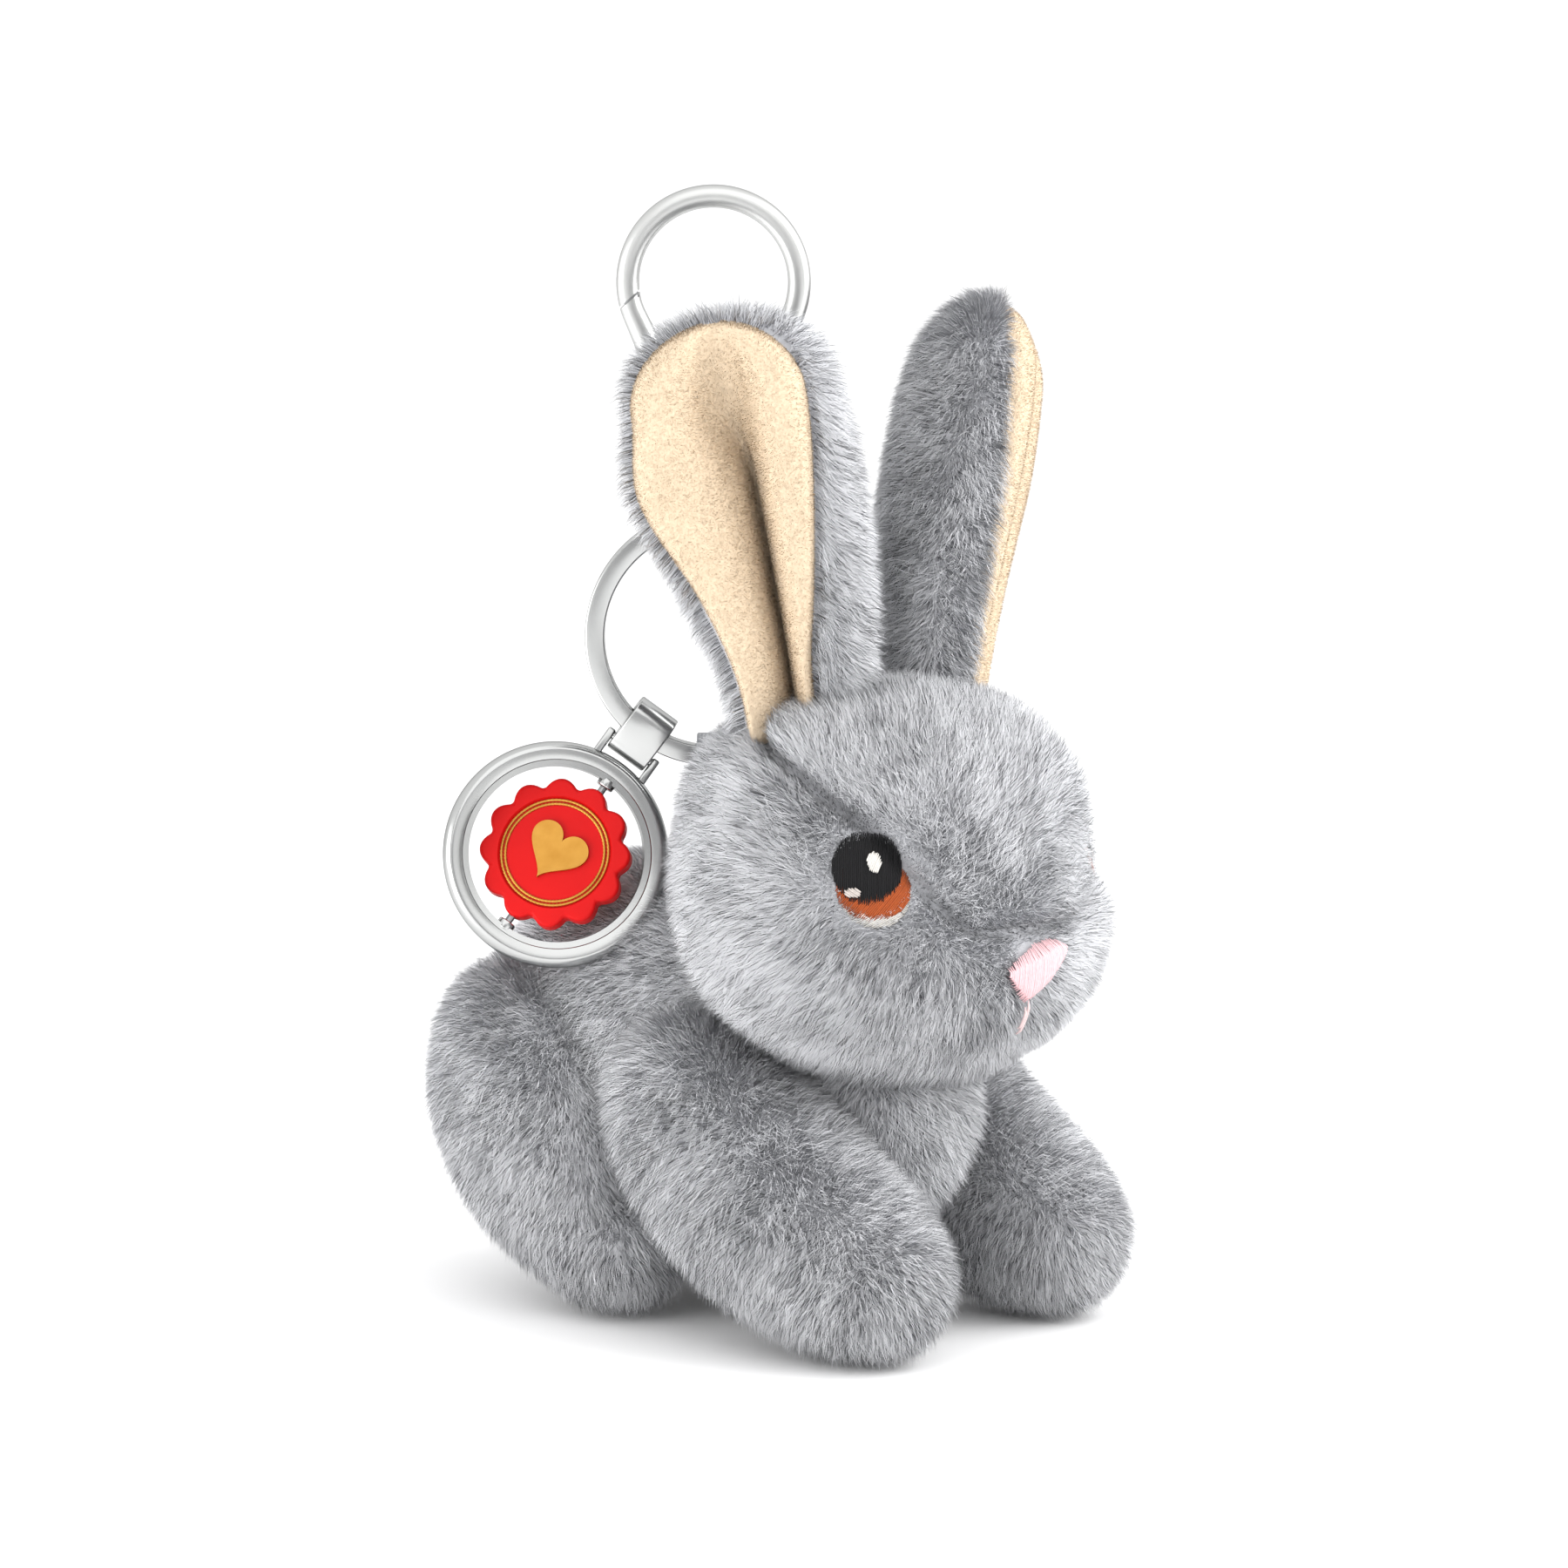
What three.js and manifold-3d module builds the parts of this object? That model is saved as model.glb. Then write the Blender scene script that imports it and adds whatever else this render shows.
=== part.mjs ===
// A plush rabbit keychain: a swivelling trigger clasp, a flat split ring, a stuffed rabbit on a sewn ribbon
// loop, and a round charm whose scalloped disc spins in its frame.
//
// Millimetres, +Z up. The origin is on the inside of the clasp's crown, where the keychain hangs.
// X runs across the clasp, Y through its thickness, and the face of the hardware looks along -Y.
// The rabbit has a frame of its own inside this one: its nose points along its -Y and its left is +X.

import * as THREE from "three";
import { mergeVertices } from "three/addons/utils/BufferGeometryUtils.js";
import Module from "manifold-3d";

const wasm = await Module();
wasm.setup();

// ---------------------------------------------------------------- driving dimensions

const GAP = 0.3; // between pieces that touch or are sewn together
const DEGREE = Math.PI / 180;

const CLASP = {
  outer: 11.05, // radius of the round crown
  band: 2.6, // width of the band, across the face
  thick: 3.2, // through Y
  edge: 0.8, // rounding of the band's edges
  foot: 5.4, // outer radius of the narrow end
  footDrop: 14.95, // from the crown's centre down to the narrow end's centre
};
const GATE = { tongue: 1.3, slot: 1.9, knuckle: 1.6, pin: 0.5, head: 0.9 };
const SWIVEL = { barrel: 2.6, bore: 1.5, stem: 1.15, head: 1.85, collar: 2.4, eyeWire: 2 };
const RING = { outer: 15, width: 3, wire: 0.95, pitch: 1.1, centre: -49, jog: 35 * DEGREE };
const CHARM = {
  tilt: 14 * DEGREE, // its foot leans out, on the rabbit's back
  angle: 36.3 * DEGREE, // where it hangs on the ring, measured from straight down
  reach: 31, // from the ring's centre to the charm's centre
  outer: 13,
  inner: 10.1,
  thick: 3,
  lug: 16, // from the ring's centre to the lug's cross bar
};
const SEAL = { radius: 8.1, lobe: 0.65, lobes: 12, thick: 2.4, ring: 6.6, turn: -18 * DEGREE };
const STRAP = { width: 5, wall: 0.6, top: 11.1 };
const RABBIT_TURN = 50 * DEGREE; // the rabbit's nose, turned from -Y towards +X
const RABBIT_BACK = 5; // how far it sits behind the ring, which brings its weight under the ribbon
const CLOTH = 1.2; // the sewn plush's backing
const HEAD = { centre: new THREE.Vector3(0, -25.8, -75.1), wide: 24.5, deep: 20.5, high: 21 };
const EAR = { length: 48, out: 13, forward: 24.2, foot: -59.5, lean: 12 * DEGREE, clear: 1.7 };
const EAR_YAW = { right: 75 * DEGREE, left: 70 * DEGREE }; // how far each ear's mouth turns from the nose

// ---------------------------------------------------------------- materials

const finish = (color, roughness, metalness = 0) =>
  new THREE.MeshStandardMaterial({ color, roughness, metalness });
const plush = finish(0xa9abb0, 0.95);
const fleece = finish(0xf3dcbb, 0.95);
const fibre = finish(0xf4f4f2, 1);
const blackThread = finish(0x17181a, 0.6);
const pinkThread = finish(0xf5c6c9, 0.6);
const ribbon = finish(0x9a9ca2, 0.7);
const chrome = finish(0xd6d8d8, 0.15, 1);
const springSteel = finish(0x9ea2a6, 0.3, 1);
const redEnamel = finish(0xd9161a, 0.3);
const gold = finish(0xd9a441, 0.3, 1);

// ---------------------------------------------------------------- helpers

const keychain = new THREE.Group();
const rabbit = new THREE.Group();
rabbit.rotation.z = RABBIT_TURN;
rabbit.position.y = RABBIT_BACK;
keychain.add(rabbit);

function piece(name, shape, material, parent = keychain) {
  const geometry = shape.isBufferGeometry ? shape : geometryOf(shape);
  const mesh = new THREE.Mesh(geometry, material);
  mesh.name = name;
  parent.add(mesh);
  return mesh;
}

// A closed geometry as a manifold-3d solid, and back.
function solidOf(geometry) {
  const loose = geometry.index ? geometry.toNonIndexed() : geometry;
  const bare = new THREE.BufferGeometry().setAttribute("position", loose.getAttribute("position"));
  const merged = mergeVertices(bare, 1e-3);
  return new wasm.Manifold(
    new wasm.Mesh({
      numProp: 3,
      vertProperties: merged.attributes.position.array,
      triVerts: new Uint32Array(merged.index.array),
    }),
  );
}

function geometryOf(solid) {
  const { vertProperties, triVerts } = solid.getMesh();
  return new THREE.BufferGeometry()
    .setAttribute("position", new THREE.BufferAttribute(new Float32Array(vertProperties), 3))
    .setIndex(new THREE.BufferAttribute(new Uint32Array(triVerts), 1));
}

// A flat outline in XZ, made as thick as asked about the plane Y = 0, its edges rounded by edge.
function plate(shape, thick, edge = 0, curveSegments = 24) {
  const geometry = new THREE.ExtrudeGeometry(shape, {
    depth: thick - 2 * edge,
    bevelEnabled: edge > 0,
    bevelThickness: edge,
    bevelSize: edge,
    bevelOffset: -edge,
    bevelSegments: 1,
    curveSegments,
  });
  geometry.translate(0, 0, edge - thick / 2);
  return geometry.rotateX(Math.PI / 2);
}

// The same outline standing in YZ, made thick along X.
const crossPlate = (shape, thick, edge, curveSegments) =>
  plate(shape, thick, edge, curveSegments).rotateZ(Math.PI / 2);

function rod(radius, length, axis, centre, sides = 16) {
  const geometry = new THREE.CylinderGeometry(radius, radius, length, sides);
  if (axis === "z") geometry.rotateX(Math.PI / 2);
  return geometry.translate(centre.x, centre.y, centre.z);
}

const at = (x, y, z) => new THREE.Vector3(x, y, z);

// A profile in (radius, height) turned about Z.
const turned = (profile, sides) =>
  new THREE.LatheGeometry(profile.map(([radius, height]) => new THREE.Vector2(radius, height)), sides).rotateX(
    Math.PI / 2,
  );

// A closed skin over a grid of points: rows of loops that join into a tube, capped across each end.
function lofted(rows) {
  const points = rows.flat();
  const around = rows[0].length;
  const index = [];
  for (let row = 0; row + 1 < rows.length; row++)
    for (let i = 0; i < around; i++) {
      const next = (i + 1) % around;
      const a = row * around + i;
      const b = row * around + next;
      index.push(a, b, a + around, b, b + around, a + around);
    }
  // Each end is laced across, from the loop's first half to its second.
  const last = points.length - around;
  for (let i = 0; i + 1 < around / 2; i++) {
    const j = around - 1 - i;
    index.push(i, j, i + 1, j, j - 1, i + 1);
    index.push(last + i, last + i + 1, last + j, last + j, last + i + 1, last + j - 1);
  }
  const geometry = new THREE.BufferGeometry().setFromPoints(points);
  geometry.setIndex(index.filter((_, n) => !isFlat(index, n)));
  const solid = solidOf(geometry);
  return solid.volume() < 0 ? solidOf(flipped(geometry)) : solid;
}

// A triangle with a repeated corner comes from the last rung of a lacing.
function isFlat(index, n) {
  const first = n - (n % 3);
  const [a, b, c] = index.slice(first, first + 3);
  return a === b || b === c || a === c;
}

function flipped(geometry) {
  const index = Array.from(geometry.index.array);
  for (let n = 0; n < index.length; n += 3) [index[n + 1], index[n + 2]] = [index[n + 2], index[n + 1]];
  return geometry.clone().setIndex(index);
}

// A stuffed form: a sphere drawn out along a spine. Each station is [x, y, z, half width, half height].
function stuffed(stations, grow = 0, around = 14, along = 10, blunt = 0.62) {
  const centres = new THREE.CatmullRomCurve3(stations.map(([x, y, z]) => at(x, y, z)));
  const girths = new THREE.CatmullRomCurve3(stations.map(([, , , wide, high]) => at(wide, high, 0)));
  const sphere = new THREE.SphereGeometry(1, around, along);
  const position = sphere.getAttribute("position");
  const up = at(0, 0, 1);
  for (let i = 0; i < position.count; i++) {
    const from = new THREE.Vector3().fromBufferAttribute(position, i);
    const t = (1 - from.y) / 2;
    const centre = centres.getPoint(t);
    const ahead = centres.getTangent(t);
    const girth = girths.getPoint(t);
    const side = new THREE.Vector3().crossVectors(ahead, up).normalize();
    const above = new THREE.Vector3().crossVectors(side, ahead);
    const ringRadius = Math.hypot(from.x, from.z);
    const share = ringRadius > 1e-6 ? ringRadius ** (blunt - 1) : 0;
    centre.addScaledVector(side, from.x * share * (girth.x + grow));
    centre.addScaledVector(above, from.z * share * (girth.y + grow));
    centre.addScaledVector(ahead, -from.y * grow);
    position.setXYZ(i, centre.x, centre.y, centre.z);
  }
  const solid = solidOf(sphere);
  return solid.volume() < 0 ? solidOf(flipped(mergeBare(sphere))) : solid;
}

function mergeBare(geometry) {
  const bare = new THREE.BufferGeometry().setAttribute(
    "position",
    geometry.toNonIndexed().getAttribute("position"),
  );
  return mergeVertices(bare, 1e-3);
}

// ---------------------------------------------------------------- clasp

const crownInner = CLASP.outer - CLASP.band;
const ARC_STEPS = 31; // odd, so that a flat facet lies across the very crown
const crownStep = (step, radius) => radius * Math.cos(step / 2);
const lean = Math.asin((CLASP.outer - CLASP.foot) / CLASP.footDrop);
const crownArc = Math.PI + 2 * lean;
const CROWN_Z = -crownStep(crownArc / ARC_STEPS, crownInner); // puts the crown's inner facet at Z = 0
const FOOT_Z = CROWN_Z - CLASP.footDrop;

// The clasp's outline, a round crown drawn down to a smaller round foot, taken in by inset.
function teardrop(inset) {
  const points = [];
  const arc = (radius, centre, from, sweep, steps) => {
    for (let i = 0; i <= steps; i++) {
      const angle = from + (sweep * i) / steps;
      points.push(new THREE.Vector2(radius * Math.cos(angle), centre + radius * Math.sin(angle)));
    }
  };
  arc(CLASP.outer - inset, CROWN_Z, -lean, crownArc, ARC_STEPS);
  arc(CLASP.foot - inset, FOOT_Z, Math.PI + lean, Math.PI - 2 * lean, 12);
  return points;
}

const bandShape = new THREE.Shape(teardrop(0));
bandShape.holes.push(new THREE.Path(teardrop(CLASP.band)));
const band = solidOf(plate(bandShape, CLASP.thick, CLASP.edge));

// The gate's pivot lies on the band's centreline near the foot; the gate's nose meets the crown on a slant.
const armEnd = (radius, centre) =>
  at(-(radius - CLASP.band / 2) * Math.cos(lean), 0, centre - (radius - CLASP.band / 2) * Math.sin(lean));
const pivot = armEnd(CLASP.outer, CROWN_Z).lerp(armEnd(CLASP.foot, FOOT_Z), 0.84);
const JOINT = { inner: at(-7.2, 0, -8.3), outer: at(-11.6, 0, -12.1) };

const outline = (...points) => new THREE.Shape(points.map(([x, z]) => new THREE.Vector2(x, z)));
// The stretch of band that the gate replaces, moved by shift along the slant's normal at its upper end.
const gateRegion = (shift, foot) =>
  solidOf(
    plate(
      outline(
        [JOINT.inner.x + 3, JOINT.inner.z + 2.6 - shift],
        [JOINT.outer.x - 2, JOINT.outer.z - 1.7 - shift],
        [-14, pivot.z + foot + 4.4],
        [pivot.x - 6, pivot.z + foot - 2.5],
        [pivot.x + 5.2, pivot.z + foot + 2.1],
      ),
      CLASP.thick + 2,
    ),
  );
const aboutPivot = (radius, thick) => solidOf(rod(radius, thick, "y", pivot, 24));
const insideBand = solidOf(plate(bandShape, GATE.tongue, 0));

const gateArm = band.intersect(gateRegion(GAP, 0)).subtract(aboutPivot(GATE.knuckle + GAP, 6));
const gateTongue = insideBand.intersect(gateRegion(GAP, -0.4)).add(aboutPivot(CLASP.band / 2, GATE.tongue));
const gate = gateArm.add(gateTongue).subtract(aboutPivot(GATE.pin + GAP, 6));

// The clasp's body: the rest of the band, two ears round the pivot, and the swivel's barrel below.
const barrelTop = FOOT_Z - CLASP.foot + CLASP.band;
const barrelFoot = barrelTop - 4.3;
const slot = solidOf(plate(bandShape, GATE.slot)).intersect(
  solidOf(new THREE.BoxGeometry(7, 6, 8).translate(pivot.x + 0.4, 0, pivot.z - 0.6)),
);
const barrel = solidOf(rod(SWIVEL.barrel, barrelTop - barrelFoot, "z", at(0, 0, (barrelTop + barrelFoot) / 2), 24));
const claspBody = band
  .subtract(gateRegion(0, 0))
  .add(aboutPivot(GATE.knuckle, CLASP.thick))
  .add(barrel)
  .subtract(slot)
  .subtract(aboutPivot(GATE.knuckle + GAP, GATE.slot))
  .subtract(aboutPivot(GATE.pin + GAP, 6))
  .subtract(solidOf(rod(SWIVEL.bore, 12, "z", at(0, 0, barrelTop - 2), 24)))
  .subtract(solidOf(rod(SWIVEL.head + 0.35, 3.4, "z", at(0, 0, barrelTop + 1.7), 24)));

piece("clasp_body", claspBody, chrome);
piece("clasp_gate", gate, chrome);

// A rivet through the ears, with a head outside each.
const pinHalf = CLASP.thick / 2 + GAP;
const headHeight = 0.4;
const rivet = [
  [0, -pinHalf - headHeight],
  [GATE.head, -pinHalf - headHeight],
  [GATE.head, -pinHalf],
  [GATE.pin, -pinHalf],
  [GATE.pin, pinHalf],
  [GATE.head, pinHalf],
  [GATE.head, pinHalf + headHeight],
  [0, pinHalf + headHeight],
];
piece("gate_pin", turned(rivet, 16).rotateX(Math.PI / 2).translate(pivot.x, 0, pivot.z), springSteel);

// The gate's return spring: a bent leaf in the slot below the pivot.
const leafRadius = CLASP.foot - CLASP.band / 2;
const leaf = new THREE.Shape();
const leafFrom = Math.PI + lean + 22 * DEGREE;
const leafTo = leafFrom + 20 * DEGREE;
leaf.absarc(0, FOOT_Z, leafRadius + 0.2, leafFrom, leafTo, false);
leaf.absarc(0, FOOT_Z, leafRadius - 0.2, leafTo, leafFrom, true);
piece("gate_spring", plate(leaf, 1.2, 0, 6), springSteel);

// ---------------------------------------------------------------- swivel

// A riveted stem with a head inside the foot, a collar under the barrel and a flat eye that stands in YZ.
const stemTop = barrelTop + GAP;
const collarTop = barrelFoot - GAP;
const collarFoot = collarTop - 1;
const stem = solidOf(
  turned(
    [
      [0, collarFoot],
      [SWIVEL.collar, collarFoot],
      [SWIVEL.collar, collarTop],
      [SWIVEL.stem, collarTop],
      [SWIVEL.stem, stemTop],
      [SWIVEL.head, stemTop],
      [SWIVEL.head * 0.8, stemTop + 0.9],
      [0, stemTop + 1],
    ],
    24,
  ),
);
const ringTop = RING.centre + RING.outer;
const eye = { top: ringTop + 0.6, foot: ringTop - RING.width - 0.4, half: 2.75 };
const eyeShape = new THREE.Shape();
const eyeOuter = eye.half + SWIVEL.eyeWire;
eyeShape.moveTo(-eyeOuter, eye.foot + 1.6);
eyeShape.absarc(0, eye.foot + 2.75, eyeOuter, Math.PI * 1.08, Math.PI * 1.92, false);
eyeShape.lineTo(eyeOuter, eye.foot + 2.6);
eyeShape.lineTo(eyeOuter - 1.2, eye.top + 0.6);
eyeShape.lineTo(1.6, collarFoot + 0.4);
eyeShape.lineTo(-1.6, collarFoot + 0.4);
eyeShape.lineTo(1.2 - eyeOuter, eye.top + 0.6);
eyeShape.lineTo(-eyeOuter, eye.foot + 2.6);
const eyeHole = new THREE.Path();
eyeHole.absarc(0, eye.foot + eye.half, eye.half, Math.PI, 2 * Math.PI, false);
eyeHole.lineTo(eye.half - 0.8, eye.top);
eyeHole.lineTo(0.8 - eye.half, eye.top);
eyeShape.holes.push(eyeHole);
piece("swivel_eye", stem.add(solidOf(crossPlate(eyeShape, SWIVEL.eyeWire, 0.5, 10))), chrome);

// ---------------------------------------------------------------- split ring

// Two turns of flat wire side by side. The wire crosses from one turn to the other in the jog.
const RING_JOG_AT = 48 * DEGREE;
const RING_STEP = 9 * DEGREE;
const ringSweep = 4 * Math.PI - RING.jog - 5 * DEGREE;
const ringSteps = Math.round(ringSweep / RING_STEP);
const ringRows = [];
for (let i = 0; i <= ringSteps; i++) {
  const angle = (ringSweep * i) / ringSteps;
  const crossed = THREE.MathUtils.smoothstep(angle, 2 * Math.PI - RING.jog, 2 * Math.PI);
  const y = RING.pitch * (0.5 - crossed);
  const corner = (radius, across) =>
    at(
      radius * Math.cos(angle + RING_JOG_AT),
      y + (across * RING.wire) / 2,
      RING.centre + radius * Math.sin(angle + RING_JOG_AT),
    );
  const inner = RING.outer - RING.width;
  ringRows.push([corner(inner, -1), corner(RING.outer, -1), corner(RING.outer, 1), corner(inner, 1)]);
}
piece("split_ring", lofted(ringRows), chrome);

// ---------------------------------------------------------------- charm

// Built hanging straight down from the ring's centre, then turned round the ring to its place.
const charm = new THREE.Group();
charm.position.z = RING.centre;
charm.rotation.y = CHARM.angle;
keychain.add(charm);

// A stamped strap closed round the ring's wire and the charm's cross bar.
function strapOutline(inset) {
  const shape = inset ? new THREE.Path() : new THREE.Shape();
  const upper = 2.05 - inset;
  const lower = 1.45 - inset;
  const upperCentre = -(STRAP.top - STRAP.wall + 2.05 - 0.2);
  shape.moveTo(upper, upperCentre);
  shape.absarc(0, upperCentre, upper, 0, Math.PI, false);
  shape.lineTo(-upper, -14.6);
  shape.absarc(0, -CHARM.lug, lower, Math.PI, 2 * Math.PI, false);
  shape.lineTo(upper, -14.6);
  return shape;
}
const strapShape = strapOutline(0);
strapShape.holes.push(strapOutline(STRAP.wall));
piece("bail_strap", crossPlate(strapShape, STRAP.width, 0, 8), chrome, charm);

// The rim is a rounded bead with a lower step inside it.
const half = CHARM.thick / 2;
const rimProfile = [
  [CHARM.inner, -0.9],
  [CHARM.inner + 0.8, -1],
  [CHARM.inner + 1.1, -half],
  [CHARM.outer - 0.7, -half],
  [CHARM.outer, -0.6],
  [CHARM.outer, 0.6],
  [CHARM.outer - 0.7, half],
  [CHARM.inner + 1.1, half],
  [CHARM.inner + 0.8, 1],
  [CHARM.inner, 0.9],
  [CHARM.inner, -0.9],
];
const tilted = new THREE.Group();
tilted.position.z = -CHARM.lug;
tilted.rotation.x = -CHARM.tilt;
charm.add(tilted);

const charmCentre = CHARM.lug - CHARM.reach;
const rim = solidOf(turned(rimProfile, 40).rotateX(Math.PI / 2).translate(0, 0, charmCentre));
const rimTop = charmCentre + CHARM.outer;
const postReach = 0.6 - rimTop + 0.8;
const post = (x) =>
  solidOf(new THREE.BoxGeometry(0.9, 1.3, postReach).translate(x, 0, rimTop - 0.8 + postReach / 2));
const crossBar = new THREE.CylinderGeometry(0.5, 0.5, 6.9, 12).rotateZ(Math.PI / 2);
const socket = (sign) => solidOf(rod(1.1, 1.1, "z", at(0, 0, charmCentre + sign * (CHARM.inner - 0.1)), 12));
const pinReach = 3.2;
const pinCentre = SEAL.radius + 0.9;
const pinHole = (sign) => solidOf(rod(0.75, pinReach + 0.6, "z", at(0, 0, charmCentre + sign * pinCentre), 12));
const frame = rim
  .add(post(3.1))
  .add(post(-3.1))
  .add(solidOf(crossBar))
  .add(socket(1))
  .add(socket(-1))
  .subtract(pinHole(1))
  .subtract(pinHole(-1));
piece("charm_frame", frame, chrome, tilted);
for (const [name, sign] of [["charm_pin_upper", 1], ["charm_pin_lower", -1]])
  piece(name, rod(0.45, pinReach, "z", at(0, 0, charmCentre + sign * pinCentre), 12), springSteel, tilted);

// The spinning disc turns on those pins, about the line from the bail to the charm's foot.
const spinner = new THREE.Group();
spinner.position.z = charmCentre;
spinner.rotation.z = SEAL.turn;
tilted.add(spinner);

const sealOutline = [];
for (let i = 0; i < SEAL.lobes * 5; i++) {
  const angle = (2 * Math.PI * i) / (SEAL.lobes * 5);
  const radius = SEAL.radius + SEAL.lobe * Math.cos(SEAL.lobes * angle);
  sealOutline.push(new THREE.Vector2(radius * Math.sin(angle), radius * Math.cos(angle)));
}
const disc = solidOf(plate(new THREE.Shape(sealOutline), SEAL.thick, 0.5));
const spinnerPinHole = (sign) => solidOf(rod(0.75, pinReach + 0.6, "z", at(0, 0, sign * pinCentre), 12));
piece("seal_disc", disc.subtract(spinnerPinHole(1)).subtract(spinnerPinHole(-1)), redEnamel, spinner);

// A gold ring and a plain gold heart lie on each face of the disc.
const heart = new THREE.Shape();
heart.moveTo(0, -3.4);
heart.bezierCurveTo(-1.2, -2.1, -3.6, -0.6, -3.6, 1.2);
heart.bezierCurveTo(-3.6, 3.1, -0.9, 3.6, 0, 1.6);
heart.bezierCurveTo(0.9, 3.6, 3.6, 3.1, 3.6, 1.2);
heart.bezierCurveTo(3.6, -0.6, 1.2, -2.1, 0, -3.4);
const inlay = { thick: 0.3, lift: SEAL.thick / 2 + GAP + 0.15 };
const hoop = [
  [SEAL.ring - 0.3, -0.15],
  [SEAL.ring + 0.3, -0.15],
  [SEAL.ring + 0.3, 0.15],
  [SEAL.ring - 0.3, 0.15],
  [SEAL.ring - 0.3, -0.15],
];
for (const [face, sign] of [["front", -1], ["back", 1]]) {
  const hoopGeometry = turned(hoop, 40).rotateX(Math.PI / 2).translate(0, sign * inlay.lift, 0);
  piece(`seal_hoop_${face}`, hoopGeometry, gold, spinner);
  piece(`seal_heart_${face}`, plate(heart, inlay.thick, 0, 6).translate(0, sign * inlay.lift, 0), gold, spinner);
}

// ---------------------------------------------------------------- rabbit: ribbon loop

// Folded tape closed over the ring's wire; its lower end is sewn into the nape.
const wireZ = RING.centre - RING.outer + RING.width / 2;
const LOOP = { inner: 2.15, wall: 0.7, width: 5, foot: -79 };
function loopOutline(radius, foot) {
  const shape = radius > LOOP.inner ? new THREE.Shape() : new THREE.Path();
  shape.moveTo(radius, wireZ);
  shape.absarc(0, wireZ, radius, 0, Math.PI, false);
  shape.lineTo(-radius, wireZ - 4);
  shape.lineTo(-radius * 0.5, wireZ - 8);
  shape.lineTo(-radius * 0.5, foot);
  shape.lineTo(radius * 0.5, foot);
  shape.lineTo(radius * 0.5, wireZ - 8);
  shape.lineTo(radius, wireZ - 4);
  return shape;
}
const loopShape = loopOutline(LOOP.inner + LOOP.wall, LOOP.foot);
loopShape.holes.push(loopOutline(LOOP.inner, LOOP.foot + 5));
rabbit.updateMatrixWorld(true);
const toRabbit = rabbit.matrixWorld.clone().invert();
const loopSolid = solidOf(crossPlate(loopShape, LOOP.width, 0, 10).applyMatrix4(toRabbit));

// ---------------------------------------------------------------- rabbit: head and body

// How much a swelling centred on one direction adds to the head's radius.
const swelling = (direction, [x, y, z], height, spread) =>
  height * Math.exp(-((direction.angleTo(at(x, y, z)) / spread) ** 2));

function headRadius(direction) {
  const ellipsoid = 1 / Math.hypot(direction.x / HEAD.wide, direction.y / HEAD.deep, direction.z / HEAD.high);
  return (
    ellipsoid +
    swelling(direction, [0, -1, -0.42], 2.6, 0.5) +
    swelling(direction, [0.8, -0.35, -0.5], 1.2, 0.6) +
    swelling(direction, [-0.8, -0.35, -0.5], 1.2, 0.6)
  );
}

// The point of the head in a direction, lifted off its skin.
const onHead = (direction, lift = 0) =>
  direction.clone().multiplyScalar(headRadius(direction) + lift).add(HEAD.centre);

function headForm(grow, around = 22, along = 15) {
  const sphere = new THREE.SphereGeometry(1, around, along).rotateX(Math.PI / 2);
  const position = sphere.getAttribute("position");
  for (let i = 0; i < position.count; i++) {
    const point = onHead(new THREE.Vector3().fromBufferAttribute(position, i).normalize(), grow);
    position.setXYZ(i, point.x, point.y, point.z);
  }
  return solidOf(sphere);
}

const BODY_SPINE = [
  [0, 30, -103, 15, 17],
  [0, 18, -101, 18.5, 21.5],
  [0, 4, -99.5, 18.5, 23.5],
  [0, -10, -100, 16.8, 22],
  [0, -22, -102, 15, 18.8],
  [0, -33, -104, 12, 14],
];
const bodyForm = (grow) => stuffed(BODY_SPINE, grow, 18, 12, 0.55);

// A sewn skin with its filling loose inside; trim is what neighbours take away from both.
function sewn(name, form, trim) {
  const cut = (solid) => (trim ? solid.subtract(trim) : solid);
  piece(`${name}_skin`, cut(form(0).subtract(form(-CLOTH))), plush, rabbit);
  piece(`${name}_filling`, cut(form(-CLOTH - GAP)), fibre, rabbit);
}

const neckGap = solidOf(rod(6, 9, "z", at(0, -20, HEAD.centre.z - HEAD.high + 1), 20));
const headShell = headForm(0).subtract(headForm(-CLOTH, 18, 12)).subtract(neckGap);
piece("head_skin", headShell, plush, rabbit);
piece("head_filling", headForm(-CLOTH - GAP - 0.3, 18, 12), fibre, rabbit);
const headRoom = headForm(GAP + 0.15);
sewn("body", bodyForm, headRoom);
const bodyRoom = bodyForm(GAP + 0.15);
const taken = headRoom.add(bodyRoom);
piece("hang_loop", loopSolid.subtract(taken), ribbon, rabbit);

// ---------------------------------------------------------------- rabbit: legs and tail

// Spines for the right side, where x is negative; the left side is their mirror.
const FRONT_LEG = [
  [-13, -7, -95, 8.5, 9],
  [-14.5, -15, -102, 9.5, 10.5],
  [-15.5, -25, -110.5, 9, 10],
  [-15.5, -37, -115.3, 8.5, 9.2],
  [-15.5, -44.6, -116.3, 7.2, 7.8],
];
const HIND_LEG = [
  [-10, 23, -92, 9, 11],
  [-12, 16, -100, 12, 14],
  [-14, 9, -109, 11, 12.5],
  [-15.5, 1, -116.5, 8, 8.2],
  [-15.5, -8.5, -117, 6.8, 7],
];
const mirrored = (stations) => stations.map(([x, ...rest]) => [-x, ...rest]);
const FLOOR = -124.4; // the underside of the cloth, which lies flat
const belowFloor = solidOf(new THREE.BoxGeometry(120, 140, 20).translate(0, 0, FLOOR - 10));
const legRoom = taken.add(belowFloor);
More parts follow.
